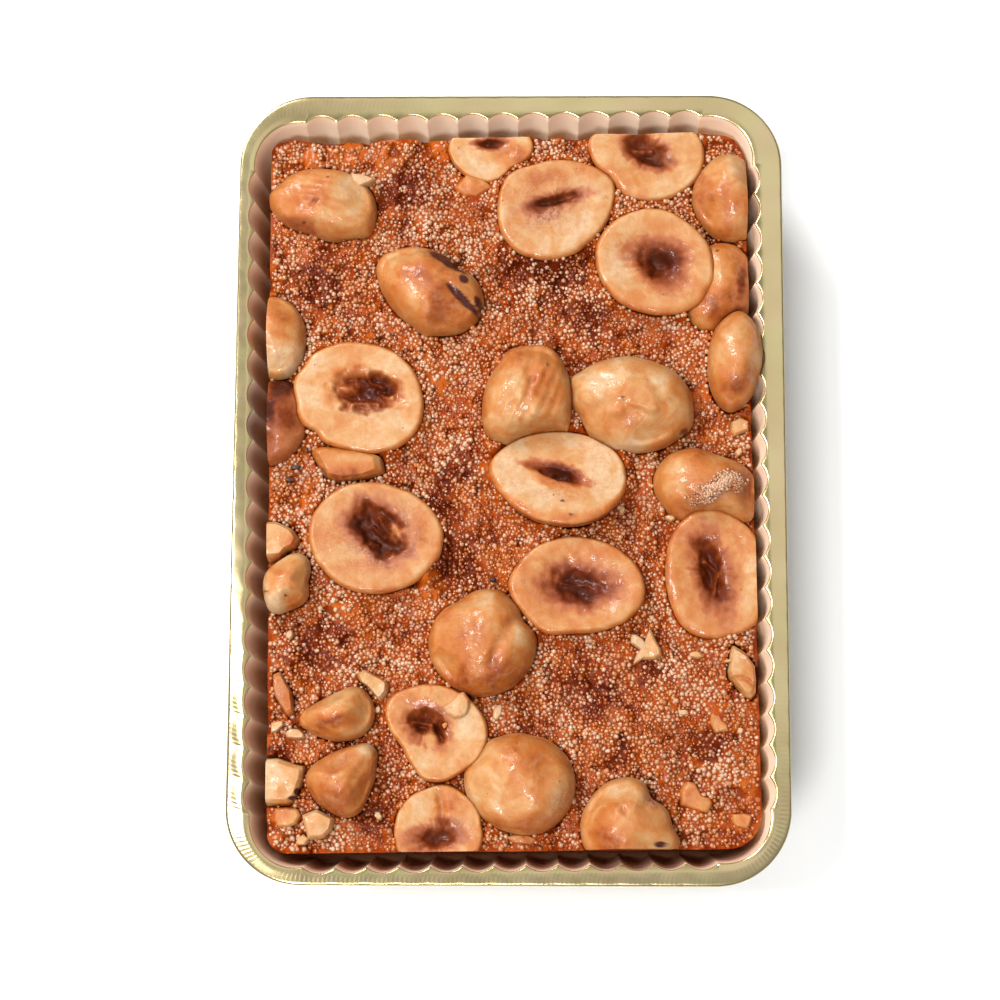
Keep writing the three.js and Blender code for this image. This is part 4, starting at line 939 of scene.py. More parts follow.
def crumb_slab():
    """The slab as one closed skin: a field of heights stretched between its curved sides, then
    rings down the knife-cut sides to its foot."""
    y = np.broadcast_to(slab_rows()[:, None], (len(slab_rows()), SLAB_COLUMNS))
    t = np.linspace(0, 1, SLAB_COLUMNS)[None, :]
    right = SLAB_MIDDLE_X + side_reach(y, 1)
    left = SLAB_MIDDLE_X - side_reach(y, -1)
    x = left * (1 - t) + right * t
    z = pocket_height(x, y, bare_height(x, y))
    from_side = np.minimum(np.minimum(right - x, x - left), SLAB_HALF_Y - np.abs(y))
    crumbled = 0.18 + 0.3 * np.clip(noise(x, y, 1.4, 12), 0, 1)
    z = z - crumbled * smooth(0.7, 0.0, from_side)
    top = np.stack([x, y, z], axis=-1).reshape(-1, 3)

    index = np.arange(len(top)).reshape(x.shape)
    border = np.concatenate([
        index[0, :-1], index[:-1, -1], index[-1, :0:-1], index[:0:-1, 0],
    ])
    rings = slab_sides(top[border])
    points = np.vstack([top, *rings, [[SLAB_MIDDLE_X, 0, SLAB_FOOT]]])
    quads = np.stack([index[:-1, :-1], index[:-1, 1:], index[1:, 1:], index[1:, :-1]], axis=-1)
    on_rings = len(top) + np.arange(len(rings) * len(border)).reshape(len(rings), -1)
    chain = np.vstack([border, on_rings])
    after = np.roll(chain, -1, axis=1)
    sides = np.stack([chain[:-1], chain[1:], after[1:], after[:-1]], axis=-1)
    quads = np.vstack([quads.reshape(-1, 4), sides.reshape(-1, 4)])
    foot = fan_faces(len(points) - 1, chain[-1], flip=True)

    x, y, z = points.T
    # Painted shade: the crumb is painted darker where it lies below its bare top, beside and under
    # the nuts, and in its pits.
    deep = np.clip((bare_height(x, y) - z - 0.4) / 1.5, 0.8 * hollows(x, y), 1)
    on_side = np.repeat([0.0, 1.0], [len(top), len(points) - len(top)])
    add_piece("crumb_slab", (points, quads, foot), {
        "burnt": patches(BURNT, x, y, 0.35, BURNT_SEED) * (1 - on_side),
        "glazed": patches(GLAZED, x, y, 0.3, GLAZED_SEED) * (1 - on_side),
        "deep": np.maximum(deep, 0),
        "side": on_side,
    }, syrup_crumb(), "slab", crease=60)


# Grains.


def grain_shape():
    """One grain: a ring below its middle, two above, a tip and a closed foot, as unit points."""
    turn = 2 * math.pi * np.arange(GRAIN_SIDES) / GRAIN_SIDES
    rings = []
    for down, twist in GRAIN_RINGS:
        spin = turn + twist * 2 * math.pi / GRAIN_SIDES
        across, up = math.sin(math.radians(down)), math.cos(math.radians(down))
        rings.append(np.column_stack([
            across * np.cos(spin), across * np.sin(spin), np.full(GRAIN_SIDES, up),
        ]))
    return closed_skin(rings, (0, 0, -0.5), (0, 0, 1))


def grain_places(draw):
    """Grains on a jittered lattice over the crumbly top, right up to every nut, and fewer where
    the syrup lies bare."""
    across, along = int(2 * SLAB_HALF_X / GRAIN_PITCH), int(2 * SLAB_HALF_Y / GRAIN_ROW)
    i, j = np.meshgrid(np.arange(across), np.arange(along))
    x = SLAB_MIDDLE_X - SLAB_HALF_X + (i + 0.5 * (j % 2) + 0.25) * GRAIN_PITCH
    y = -SLAB_HALF_Y + (j + 0.5) * GRAIN_ROW
    x, y = (
        (place + draw.uniform(-jitter, jitter, place.shape)).ravel()
        for place, jitter in zip((x, y), GRAIN_JITTER)
    )
    keep = np.abs(y) < SLAB_HALF_Y - 0.3
    keep &= x < SLAB_MIDDLE_X + side_reach(y, 1, 0.3)
    keep &= x > SLAB_MIDDLE_X - side_reach(y, -1, 0.3)
    for nut, near in near_nuts(x, y, 1.0):
        keep[near] &= share_out(nut, x[near], y[near], 0.02) > 1
    for chip in CHIP_NUTS:
        keep &= share_out(chip, x, y, -0.1) > 1
    thin = 0.02 + 0.12 * smooth(0.2, 0.9, noise(x, y, 2.4, 25))
    thin = thin + 0.55 * patches(GLAZED, x, y, 0.35, GLAZED_SEED)
    thin = thin + 0.2 * patches(BURNT, x, y, 0.5, BURNT_SEED)
    keep &= draw.uniform(0, 1, x.shape) > thin
    return x[keep], y[keep]


def clump_grains(draw):
    """Places and heights of the grains stuck over a nut: spread evenly along a crooked line and
    like a bell across it, in layers."""
    nut = next(nut for nut in NUTS if nut.name == CLUMP_NUT)
    line = np.array(CLUMP_LINE)
    along = draw.uniform(0, len(line) - 1, CLUMP_GRAINS)
    x, y = (np.interp(along, np.arange(len(line)), knots) for knots in line.T)
    x = nut.x + x + draw.normal(0, CLUMP_HALF_WIDTH / 2, CLUMP_GRAINS)
    y = nut.y + y + draw.normal(0, CLUMP_HALF_WIDTH / 2, CLUMP_GRAINS)
    z = SLAB_TOP + nut.rise + back_top(nut, x, y)
    return x, y, z + draw.choice(CLUMP_LAYERS, CLUMP_GRAINS)


def scatter_grains():
    """All the grains in four kinds, from creamy white to toasted, each one joined mesh. Like
    grains lie together, the darker ones gather in the pits as painted shade, and the toasted
    ones lie where the top burnt."""
    draw = np.random.default_rng(SEED)
    x, y = grain_places(draw)
    cluster = layered(x, y, *GRAIN_CLUSTERS)
    # Painted shade: lower luck in the pits gives more of the darker kinds there.
    luck = draw.uniform(0, 1, len(x)) + cluster - 0.12 * hollows(x, y)
    burnt = patches(BURNT, x, y, 0.5, BURNT_SEED)
    stuck = clump_grains(draw)
    level = np.zeros(CLUMP_GRAINS)
    x, y, z, burnt, cluster, luck = (np.concatenate(pair) for pair in zip(
        (x, y, bare_height(x, y), burnt, cluster, luck),
        (*stuck, level, level, level + CLUMP_LUCK),
    ))
    size = draw.uniform(*GRAIN_SIZE, len(x)) * (1 - 0.1 * burnt)
    size *= 1 - SMALLER_BY * (draw.uniform(0, 1, len(x)) < SMALL_GRAINS)
    size[-CLUMP_GRAINS:] *= CLUMP_SIZE
    squash = draw.uniform(*GRAIN_SQUASH, len(x))
    spin = draw.uniform(0, 2 * math.pi, len(x))
    tone = np.clip(draw.uniform(0, 1, len(x)) - cluster, 0, 1)
    z = z + size * draw.uniform(*GRAIN_SINK, len(x))
    unit, quads, fans = grain_shape()
    uneven = draw.uniform(*GRAIN_UNEVEN, (len(x), len(unit), 3))
    shape = np.moveaxis(unit * uneven * size[:, None, None], -1, 0)
    across, along = turned(shape[0], shape[1], spin[:, None])
    up = shape[2] * squash[:, None]
    places = np.stack([across + x[:, None], along + y[:, None], up + z[:, None]], axis=-1)
    left = np.ones(len(x), bool)
    kinds = {}
    for name, (share, where_burnt) in GRAIN_KINDS.items():
        kinds[name] = left & (luck < share + where_burnt * burnt)
        left &= ~kinds[name]
    for name, chosen in reversed(kinds.items()):
        first = (np.arange(np.count_nonzero(chosen)) * len(unit))[:, None, None]
        faces = (quads + first).reshape(-1, 4), (fans + first).reshape(-1, 3)
        tones = {"tone": np.repeat(tone[chosen], len(unit))}
        coat = grain_coat(name, GRAIN_TINTS[name])
        add_piece(name, (places[chosen].reshape(-1, 3), *faces), tones, coat, "slab")


# Nuts.


def nut_rays(nut, steps):
    """The rays of a nut's skin: where they start, how far each one goes until it meets the
    outline or one of the slab's side planes, where the knife went, and which ones are uncut."""
    angle = 2 * math.pi * np.arange(steps) / steps
    centre = np.array([nut.x, nut.y])
    rim = centre + outline(nut, angle)[:, None] * np.column_stack([np.cos(angle), np.sin(angle)])
    if nut.overhangs:
        return centre, rim - centre, np.ones(steps, bool)
    slab_middle, half = np.array([SLAB_MIDDLE_X, 0]), np.array([SLAB_HALF_X, SLAB_HALF_Y])
    inner = half - CUT_MARGIN * nut.width
    middle = np.clip(centre, slab_middle - inner, slab_middle + inner)
    ray = rim - middle
    safe = np.where(np.abs(ray) < 1e-9, 1e-9, ray)
    limit = (np.where(ray > 0, slab_middle + half, slab_middle - half) - middle) / safe
    kept = np.minimum(1, np.where(limit > 0, limit, 1).min(axis=1))
    return middle, ray * kept[:, None], kept >= 0.999


def ellipses_away(nut, x, y, dx, dy, half_long, half_wide, turn):
    """Distance from a place on a nut, counted in ellipses of one size and turn."""
    u, v = turned(x - nut.x - dx, y - nut.y - dy, -math.radians(turn))
    return np.hypot(u / half_long, v / half_wide)


def spotted(nut, x, y, kind):
    """How strong a nut's patches of one kind are: soft bells, but shreds of dark skin, the
    stains, have a ragged edge."""
    total = np.zeros_like(x)
    ragged = layered(x, y, (0.3, 1.2, 0), (0.2, 0.5, 9), seed=SPOT_SEED + nut.seed)
    for label, *ellipse, amount in nut.spots:
        if label == kind:
            away = ellipses_away(nut, x, y, *ellipse)
            soft = bell(np.clip(away + ragged, 0, None))
            sharp = smooth(1.15, 0.8, away + 0.3 * ragged)
            total = total + amount * (sharp if kind == "stain" else soft)
    return total


def creased(nut, x, y):
    """How deep a nut's creases are: grooves, or ridges, along straight lines that waver."""
    total = np.zeros_like(x)
    seed = CREASE_SEED + nut.seed
    waver_x, waver_y = 0.3 * noise(x, y, 1.5, seed), 0.3 * noise(x, y, 1.5, seed + 1)
    for x1, y1, x2, y2, half_width, depth in nut.creases:
        px, py = x - nut.x - x1 + waver_x, y - nut.y - y1 + waver_y
        dx, dy = x2 - x1, y2 - y1
        along = np.clip((px * dx + py * dy) / (dx**2 + dy**2), 0, 1)
        away = np.hypot(px - along * dx, py - along * dy)
        total = total + depth * bell(away / half_width)
    return total


def pit_depth(nut, x, y):
    """The hollow in a cut face, and how toasted the face is. Distance is measured in ellipses
    about the pit, wobbled by noise: the depth falls off softly or at a steep broken wall, and
    the toasted halo runs out in rays."""
    *ellipse, deep, steep, halo = nut.pit
    seed = PIT_SEED + nut.seed
    ragged = layered(x, y, (0.2, 1.7, 0), (0.12, 0.7, 20), seed=seed)
    away = np.clip(ellipses_away(nut, x, y, *ellipse) + ragged, 0, None)
    wall = smooth(1.35, 0.7, away)
    bowl = bell(away * 0.95)
    depth = deep * (steep * wall * (0.6 + 0.4 * bowl) + (1 - steep) * bowl)
    folds = layered(x, y, (0.36, 1.1, 5), (0.2, 0.5, 6), seed=seed)
    lip = 0.1 * steep * bell((away - 1.25) / 0.16)
    mean_half = math.sqrt(ellipse[2] * ellipse[3])
    outside = (away - 1) * mean_half
    ray = np.arctan2(y - nut.y - ellipse[1], x - nut.x - ellipse[0])
    rays = noise(7 * np.cos(ray) + 20, 7 * np.sin(ray) + 20, 1.0, seed + 7)
    streaks = layered(x, y, (0.5, 2.2, 8), (0.2, 0.7, 9), seed=seed) + rays
    glow = smooth(halo * 1.8, -0.3 * mean_half, outside + streaks * halo * 0.4)
    dark = smooth(0.5 + 1.6 * (1 - steep), -0.9 * mean_half, outside + streaks * 0.5)
    crust = 0.5 + 0.5 * noise(x, y, 0.6, seed + 11)
    char = (0.16 + 0.2 * steep + 0.22 * crust) * dark
    roast = (0.52 + 0.14 * rays) * glow**1.3 + char + 0.3 * wall * folds
    return depth + wall * (0.25 + 0.6 * steep) * folds - lip, roast


def face_edge(nut, share, toward):
    """How far over its rounded edge a cut face is, from 0 on the flat to 1 at its outline. The
    edge starts sooner on the side where the round flank shows."""
    direction, extra, spread = nut.flank
    start = FACE_SHARE - extra * bell(off_by(toward, direction) / spread)
    return np.clip((share - start) / (1 - start), 0, 1)


def half_top(nut, x, y):
    """A cut face: a shallow dish with fine folds and a pit, rounded off at its edge."""
    share, toward = seen_from(nut, x, y)
    depth, _ = pit_depth(nut, x, y)
    edge = face_edge(nut, share, toward)
    folds = layered(x, y, (0.1, 2.6, 0), (0.05, 0.9, 1), seed=FACE_SEED + nut.seed)
    dish = nut.dish * smooth(0.88, 0.45, share)
    flat = folds - dish - depth * smooth(1.0, 0.8, share) - creased(nut, x, y)
    return flat * smooth(1.0, 0.85, share) - 0.1 - (EDGE_DROP - 0.15) * (1 - np.sqrt(1 - edge**2))


def worn_ball(nut, share, toward):
    """Half a ball, flattened a little by a few seeded planes: wherever a plane lies under the
    ball, the surface follows it, with a soft edge between them."""
    u, v = share * np.cos(toward), share * np.sin(toward)
    w = np.sqrt(np.clip(1 - share**BALL_POWER, 0, 1))
    draw = np.random.default_rng(WORN_SEED + nut.seed)
    for _ in range(FLATS):
        spin, tilt = draw.uniform(0, 2 * math.pi), math.radians(draw.uniform(*FLAT_TILT))
        away = draw.uniform(*FLAT_AWAY)
        plane = away - math.sin(tilt) * (u * math.cos(spin) + v * math.sin(spin))
        over = w - plane / math.cos(tilt)
        w = w - 0.5 * (over + np.sqrt(over**2 + FLAT_SOFTNESS**2)) * smooth(1.0, 0.8, share)
    return w


def back_top(nut, x, y):
    """A rounded back: a worn ball with lengthwise furrows, lumps, creases and fine pores."""
    share, toward = seen_from(nut, x, y)
    along, across = turned(x - nut.x, y - nut.y, -math.radians(nut.turn))
    seed = BACK_SEED + nut.seed
    furrows = nut.ridges * np.cos(across * 5.0 + 2.0 * noise(along, across, 4.0, seed))
    lumps = nut.bumps * (1 - layered(x, y, (1, 3.4, 1), (0.45, 1.5, 2), seed=seed))
    relief = furrows + lumps + creased(nut, x, y) - 0.03 * noise(x, y, 0.8, seed + 3)
    return nut.height * worn_ball(nut, share, toward) - relief * smooth(1.0, 0.6, share)


def piece_top(nut, x, y):
    """A broken piece: a crown that may slope, a bevel down to its brow and steep sides."""
    share, _ = seen_from(nut, x, y)
    steps = np.interp(share, PIECE_SHARES, (*nut.height * np.array(PIECE_HEIGHTS), -nut.sunk))
    along, _ = turned(x - nut.x, y - nut.y, -math.radians(nut.turn))
    facets = layered(x, y, (1, 2.6, 0), (0.6, 1.1, 1), seed=PIECE_SEED + nut.seed)
    relief = (nut.bumps + 0.06) * (facets - 0.8) - creased(nut, x, y)
    slope = nut.slope * along * smooth(1.0, PIECE_SHARES[2], share)
    return steps + slope + relief * smooth(1, 0.8, share)


TOPS = {"half": half_top, "back": back_top, "piece": piece_top}
TOP_SHARES = {
    "half": np.concatenate([np.linspace(0, 0.76, 42)[1:], np.linspace(0.78, 1, 15)]),
    "back": np.sin(np.linspace(0, math.pi / 2, 46)[1:]),
    "piece": np.concatenate([np.linspace(0, 0.86, 26)[1:], [0.885, 0.91, 0.94, 0.97, 1]]),
}
UNDER_SHARES = {
    "half": np.array([1.0, 0.99, 0.965, 0.92, 0.84, 0.72, 0.56, 0.36, 0.18]),
    "back": np.array([0.985, 0.95, 0.9]),
    "piece": np.array([0.99]),
}
# The middle of a cut nut's rays stays this share of its width inside the slab.
CUT_MARGIN = 0.22


def under_others(nut, x, y, top, floor, others):
    """A nut's upper side dipped softly under every nut that lies over it, down to its floor."""
    inner, outer = DIPS_BETWEEN
    for other in others:
        if math.hypot(other.x - nut.x, other.y - nut.y) > LONGEST_REACH:
            continue
        over = share_out(other, x, y)
        lid = underside(other, np.clip(over, 0, 1)) - TOUCH_GAP - nut.rise
        climb = np.clip((over - inner) / (outer - inner), 0, 1)
        dipped = lid + (top - lid) * np.sqrt(1 - (1 - climb) ** 2)
        top = np.where((over < outer) & (top > lid), np.maximum(dipped, floor), top)
    return top


def nut_skin(nut, steps, top_shares, under_shares, others):
    """A nut as one closed skin about its upright axis: rings out over its upper side, then in
    under it. Rays end where the knife went through, which leaves a flat upright cut there. Also
    its paint."""
    middle, ray, uncut = nut_rays(nut, steps)
    upper_side = TOPS[nut.shape]

    def level(shares):
        x, y = np.moveaxis(middle + ray * shares[..., None], -1, 0)
        share, _ = seen_from(nut, x, y)
        return x, y, underside(nut, share) - nut.rise

    x, y, floor = level(np.repeat(top_shares[:, None], steps, axis=1))
    top = under_others(nut, x, y, upper_side(nut, x, y), floor, others)
    back = np.repeat(under_shares[:, None], steps, axis=1)
    if nut.shape == "half":
        bx, by, bottom = level(back)
    else:
        bx, by, _ = level(np.where(uncut, back, 1.0))
        drop = np.linspace(1 / len(under_shares), 1, len(under_shares))[:, None]
        bottom = np.minimum(-nut.sunk * drop, top[-1])
    tip_x, tip_y, foot = level(np.zeros((1, steps)))
    tip = upper_side(nut, tip_x, tip_y)
    rings = np.vstack([np.stack([x, y, top], axis=-1), np.stack([bx, by, bottom], axis=-1)])
    skin = closed_skin(rings, (*middle, tip[0, 0]), (*middle, foot[0, 0]), flip=True)
    under = np.repeat([0.0, 1.0, 0.0, 1.0], [top.size, bottom.size, 1, 1])
    return skin, nut_paint(nut, *skin[0].T, under)


def set_down(nut, points):
    """Tips a nut about its own middle where it leans, lifts it to its level on the slab, and
    trims it to the slab's leaning sides, or to the tray's wall where it hangs over that."""
    x, y, z = points.T
    y, z = turned(y - nut.y, z, math.radians(nut.lean))
    y, z = y + nut.y, z + SLAB_TOP + nut.rise
    if nut.overhangs:
        wall = CUSP_HALF_X - TOUCH_GAP
        reach = np.where(z < TRAY_DEPTH + TOUCH_GAP, wall, wall + RIM_WIDTH)
        return np.column_stack([np.clip(x, -reach, reach), y, z])
    inset = np.maximum(0, SLAB_TOP - z) * SLAB_TAPER / (SLAB_TOP - SLAB_FOOT)
    reach_x, reach_y = SLAB_HALF_X - inset, SLAB_HALF_Y - inset
    x = np.clip(x, SLAB_MIDDLE_X - reach_x, SLAB_MIDDLE_X + reach_x)
    return np.column_stack([x, np.clip(y, -reach_y, reach_y), z])


def nut_paint(nut, x, y, z, under):
    """How warm, toasted, bruised and stained each point of a nut is: cut faces are palest, the
    rim and the round outer side are orange, and backs blush in patches, with painted shade as
    a warmer tint low on their flanks."""
    seed = PAINT_SEED + nut.seed
    blush = layered(x, y, (1, 4.2, 0), (0.5, 1.9, 1), seed=seed)
    share, toward = seen_from(nut, x, y)
    groove = np.clip(creased(nut, x, y), -1, 1)
    warm = nut.warm + spotted(nut, x, y, "warm") + 0.3 * np.clip(groove, 0, 1)
    roast = spotted(nut, x, y, "roast") + 0.3 * np.clip(groove, 0, 1)
    if nut.shape == "half":
        warm = warm + 0.12 * blush
        warm = warm + (0.7 - warm) * 0.85 * smooth(0.2, 0.8, face_edge(nut, share, toward))
        warm = warm + (0.9 - warm) * under
        roast = roast + (1 - under) * pit_depth(nut, x, y)[1] * smooth(1.0, 0.85, share)
        roast = roast - 0.35 * np.clip(-groove, 0, 1)
    elif nut.shape == "back":
        # Painted shade: backs are painted warmer, and so darker, low on their flanks.
        warm = warm + 0.24 * blush + 0.06 * smooth(0.75, 0.05, z / nut.height)
    else:
        warm = warm + 0.16 * blush + 0.15 * smooth(0.75, 1.0, share)
    roast = roast + nut.burnt * smooth(-0.5, 0.6, noise(x, y, 3.0, seed + 4) + 0.25)
    shown = under < 0.5
    return {
        "warm": np.clip(warm, 0, 1),
        "roast": np.clip(roast, 0, 1),
        "bruise": np.clip(spotted(nut, x, y, "bruise"), 0, 1) * shown,
        "stain": np.clip(spotted(nut, x, y, "stain"), 0, 1) * shown,
    }


def add_nuts():
    """Every kernel, back and broken piece, each in place of its own solid."""
    flesh = hazelnut_flesh("hazelnut_flesh")
    for number, nut in enumerate(NUTS):
        steps = PIECE_STEPS if nut.shape == "piece" else NUT_STEPS
        shares = TOP_SHARES[nut.shape], UNDER_SHARES[nut.shape]
        (points, quads, fans), paint = nut_skin(nut, steps, *shares, NUTS[:number])
        skin = set_down(nut, points), quads, fans
        add_piece(nut.name + "_roasted", skin, paint, flesh, nut.name, crease=48)


def small_nut(x, y, length, width, height, turn, seed, rise=0.2, edges=(), **more):
    """A chip, flake or crumb, as a broken piece of its own."""
    return make_nut(shape="piece", x=x, y=y, length=length, width=width, height=height,
                    turn=turn, seed=seed, rise=rise, edges=edges, sunk=CHIP_SUNK, **more)


CHIP_NUTS = [
    small_nut(*chip[:6], CHIP_SEED + number, *chip[6:], bumps=0.14,
              warm=0.5 if chip[4] < CLEAR_UNDER else 0.12)
    for number, chip in enumerate(CHIPS)
]


def add_scraps(name, scraps, material, steps, top_shares):
    """Many small broken pieces as one mesh."""
    points, quads, fans, paints = [], [], [], []
    count = 0
    for scrap in scraps:
        skin, paint = nut_skin(scrap, steps, top_shares, UNDER_SHARES["piece"], [])
        points.append(set_down(scrap, skin[0]))
        quads.append(skin[1] + count)
        fans.append(skin[2] + count)
        paints.append(paint)
        count += len(skin[0])
    skin = [np.vstack(parts) for parts in (points, quads, fans)]
    marks = {key: np.concatenate([paint[key] for paint in paints]) for key in paints[0]}
    add_piece(name, skin, marks, material, "slab", crease=40)


def add_chips():
    """Chips and flakes of nut, and the burnt crumbs."""
    chip_shares, few_shares = TOP_SHARES["piece"][::2], np.array([0.3, 0.62, 0.87, 1.0])
    flakes = [
        small_nut(*flake[:4], FLAKE_HEIGHT, flake[4], FLAKE_SEED + number, 0.3, bumps=0.0, warm=0.08)
        for number, flake in enumerate(FLAKES)
    ]
    crumbs = [
        small_nut(*crumb[:4], FLAKE_HEIGHT, crumb[4], CRUMB_SEED + number, 0.4, bumps=0.0)
        for number, crumb in enumerate(CRUMBS)
    ]
    add_scraps("nut_chips", CHIP_NUTS, hazelnut_flesh("chip_flesh"), CHIP_STEPS, chip_shares)
    add_scraps("nut_flakes", flakes, hazelnut_flesh("flake_flesh"), FLAKE_STEPS, few_shares)
    add_scraps("burnt_crumbs", crumbs, burnt_crumb(), CRUMB_STEPS, few_shares)


# Materials.


# How bright a level white surface is under the studio's lights. Colours are written as they
# show on a screen, and divided by it.
LIGHT_LEVEL = 1.85


def tint(red, green, blue, level=LIGHT_LEVEL):
    """A colour as it shows on a screen, from 0 to 255, as the linear colour a shader takes."""
    values = []
    for value in (red, green, blue):
        share = value / 255
        linear = share / 12.92 if share <= 0.04045 else ((share + 0.055) / 1.055) ** 2.4
        values.append(min(linear / level, 0.98))
    return (*values, 1.0)


GRAIN_TINTS = {
    "cream_grains": (tint(250, 206, 168), tint(240, 178, 132)),
    "wheat_grains": (tint(234, 160, 104), tint(220, 134, 74)),
    "amber_grains": (tint(220, 118, 44), tint(202, 92, 22)),
    "toasted_grains": (tint(182, 78, 22), tint(130, 44, 8)),
}
FIBRE = tint(222, 140, 76)
PALE_FLESH = tint(252, 210, 160)
SPECK = tint(110, 58, 32)
DARK_SKIN = tint(92, 32, 20)
# Light that goes into a nut comes out again this far away, in millimetres, by colour.
GLOW_DEPTH = 1.2
GLOW_SPREAD = (1.0, 0.42, 0.15)


class Finish:
    """A material under construction: each call adds a node and joins it to what it reads."""

    def __init__(self, name):
        self.material = bpy.data.materials.new(name)
        self.material.use_nodes = True
        self.tree = self.material.node_tree
        self.place = self.node("TexCoord", "Object", {})

    def join(self, socket, value):
        """Links a socket to another one, or sets its value."""
        if isinstance(value, bpy.types.NodeSocket):
            self.tree.links.new(value, socket)
        else:
            socket.default_value = value

    def node(self, kind, output, inputs, **settings):
        """Adds a node, with its settings and what each input gets, and returns an output."""
        node = self.tree.nodes.new("ShaderNode" + kind)
        for name, value in settings.items():
            setattr(node, name, value)
        for key, value in inputs.items():
            self.join(node.inputs[key], value)
        return node.outputs[output]

    def noise(self, size, detail=2.0, rough=0.5, warp=0.0):
        return self.node("TexNoise", "Fac", {
            "Vector": self.place, "Scale": 1 / (size * MM), "Detail": detail,
            "Roughness": rough, "Distortion": warp,
        })

    def cells(self, size):
        return self.node("TexVoronoi", "Distance", {"Vector": self.place, "Scale": 1 / (size * MM)})

    def painted(self, name):
        return self.node("Attribute", "Fac", {}, attribute_name=name)

    def math(self, kind, first, second):
        return self.node("Math", "Value", {0: first, 1: second}, operation=kind)

    def patchy(self, noise, *ends):
        """A ramp over noise, which is given by its size, detail, roughness and warp."""
        return self.ramp(self.noise(*noise), *ends)

    def ramp(self, value, low, high, start=0.0, end=1.0):
        return self.node("MapRange", "Result", {
            "Value": value, "From Min": low, "From Max": high, "To Min": start, "To Max": end,
        }, interpolation_type="SMOOTHSTEP")

    def mix(self, share, first, second):
        """Inputs 6 and 7 and output 2 are the ones for colours."""
        return self.node("Mix", 2, {"Factor": share, 6: first, 7: second}, data_type="RGBA")

    def over(self, body, *coats):
        """Colours laid one over the other, each given with its share."""
        for share, colour in coats:
            body = self.mix(share, body, colour)
        return body

    def colours(self, value, *stops):
        """A band of colours, each given with its place."""
        node = self.tree.nodes.new("ShaderNodeValToRGB")
        self.join(node.inputs["Fac"], value)
        band = node.color_ramp
        while len(band.elements) < len(stops):
            band.elements.new(0.5)
        for element, (place, colour) in zip(band.elements, stops):
            element.position = place
            element.color = colour
        return node.outputs["Color"]

    def bump(self, height, depth, strength=1.0, after=None):
        under = {} if after is None else {"Normal": after}
        return self.node("Bump", "Normal", {
            "Height": height, "Distance": depth * MM, "Strength": strength, **under,
        })

    def set(self, **sockets):
        """Joins the shader's own sockets, and returns the finished material."""
        for name, value in sockets.items():
            shader = self.tree.nodes["Principled BSDF"]
            self.join(shader.inputs[name.replace("_", " ")], value)
        return self.material


def gold_film():
    """Metallised film: olive gold with faint green clouds on the rim, a painted highlight on its
    rounded inner edge and painted shade beside each cusp and along the outer fold; beige down
    the walls, with painted light partway down and a painted reflection of the slab at their
    foot, and painted shade and reflection in brown on the near wall and the left one."""
    film = Finish("gold_film")
    gold = film.colours(
        film.noise(11.0, 2.0, 0.5),
        (0.3, tint(178, 160, 116, 1)), (0.5, tint(186, 166, 124, 1)), (0.7, tint(194, 174, 134, 1)),
    )
    gold = film.over(
        gold,
        (film.patchy((7.0, 1.0), 0.4, 0.7, 0.0, 0.3), tint(190, 188, 132, 1)),
        # Painted shade beside each cusp and along the outer fold.
        (film.painted("cusp"), tint(128, 118, 66, 1)),
        # Painted highlight on the rounded inner edge.
        (film.painted("brow"), tint(210, 184, 130, 1)),
    )
    # Painted light: the walls are painted paler partway down, against the shade of the narrow gap
    # beside the slab, and warmer at their foot as a painted reflection of the slab.
    beige = film.colours(
        film.painted("depth"),
        (0.0, tint(250, 222, 192, 1)), (0.35, tint(255, 240, 218, 1)), (1.0, tint(250, 200, 150, 1)),
    )
    # Painted shade and reflection in brown on the near and left walls.
    beige = film.mix(film.painted("wet"), beige, tint(170, 86, 50, 1))
    wall = film.painted("wall")
    cloudy = film.patchy((2.2, 2.0), 0.3, 0.7, -0.015, 0.02)
    return film.set(
        Base_Color=film.mix(wall, gold, beige),
        Metallic=film.ramp(wall, 0.0, 1.0, 0.9, 0.12),
        Roughness=film.math("ADD", film.ramp(wall, 0.0, 1.0, 0.2, 0.5), cloudy),
        Normal=film.bump(film.noise(0.6, 2.0), 0.008, 0.12),
    )


def syrup_crumb():
    """Syrup-soaked crumb between the grains: saturated orange-brown, with painted shade in the
    pits and round the nuts, purple brown where it burnt, clear orange where the glaze pooled,
    and paler on the cut sides."""
    crumb = Finish("syrup_crumb")
    speck, glazed = crumb.cells(0.55), crumb.painted("glazed")
    body = crumb.colours(
        crumb.noise(2.6, 3.0, 0.6),
        (0.3, tint(152, 48, 2)), (0.5, tint(188, 74, 4)), (0.72, tint(204, 95, 14)),
    )
    char = crumb.colours(crumb.noise(0.9, 2.0), (0.35, tint(92, 26, 6)), (0.65, tint(132, 46, 10)))
    side = crumb.colours(
        crumb.noise(1.1, 3.0, 0.6),
        (0.3, tint(226, 158, 106, 1.1)), (0.6, tint(250, 204, 158, 1.1)),
    )
    fine = crumb.bump(crumb.noise(0.3, 2.0), 0.05, 0.5)
    return crumb.set(
        Base_Color=crumb.over(
            body,
            (crumb.ramp(speck, 0.05, 0.42, 0.62, 0.0), tint(226, 142, 84)),
            (glazed, tint(214, 100, 12)),
            # Painted shade in the pits and round the nuts.
            (crumb.painted("deep"), tint(150, 48, 2)),
            (crumb.painted("burnt"), char),
            (crumb.painted("side"), side),
        ),
        Roughness=crumb.patchy((0.8, 2.0), 0.3, 0.7, 0.22, 0.45),
        Specular_IOR_Level=0.1,
        Coat_Weight=crumb.math("MULTIPLY", glazed, 0.25),
        Coat_Roughness=0.1,
        Normal=crumb.bump(crumb.ramp(speck, 0.0, 0.5, 1.0, 0.0), 0.16, 0.8, fine),
    )


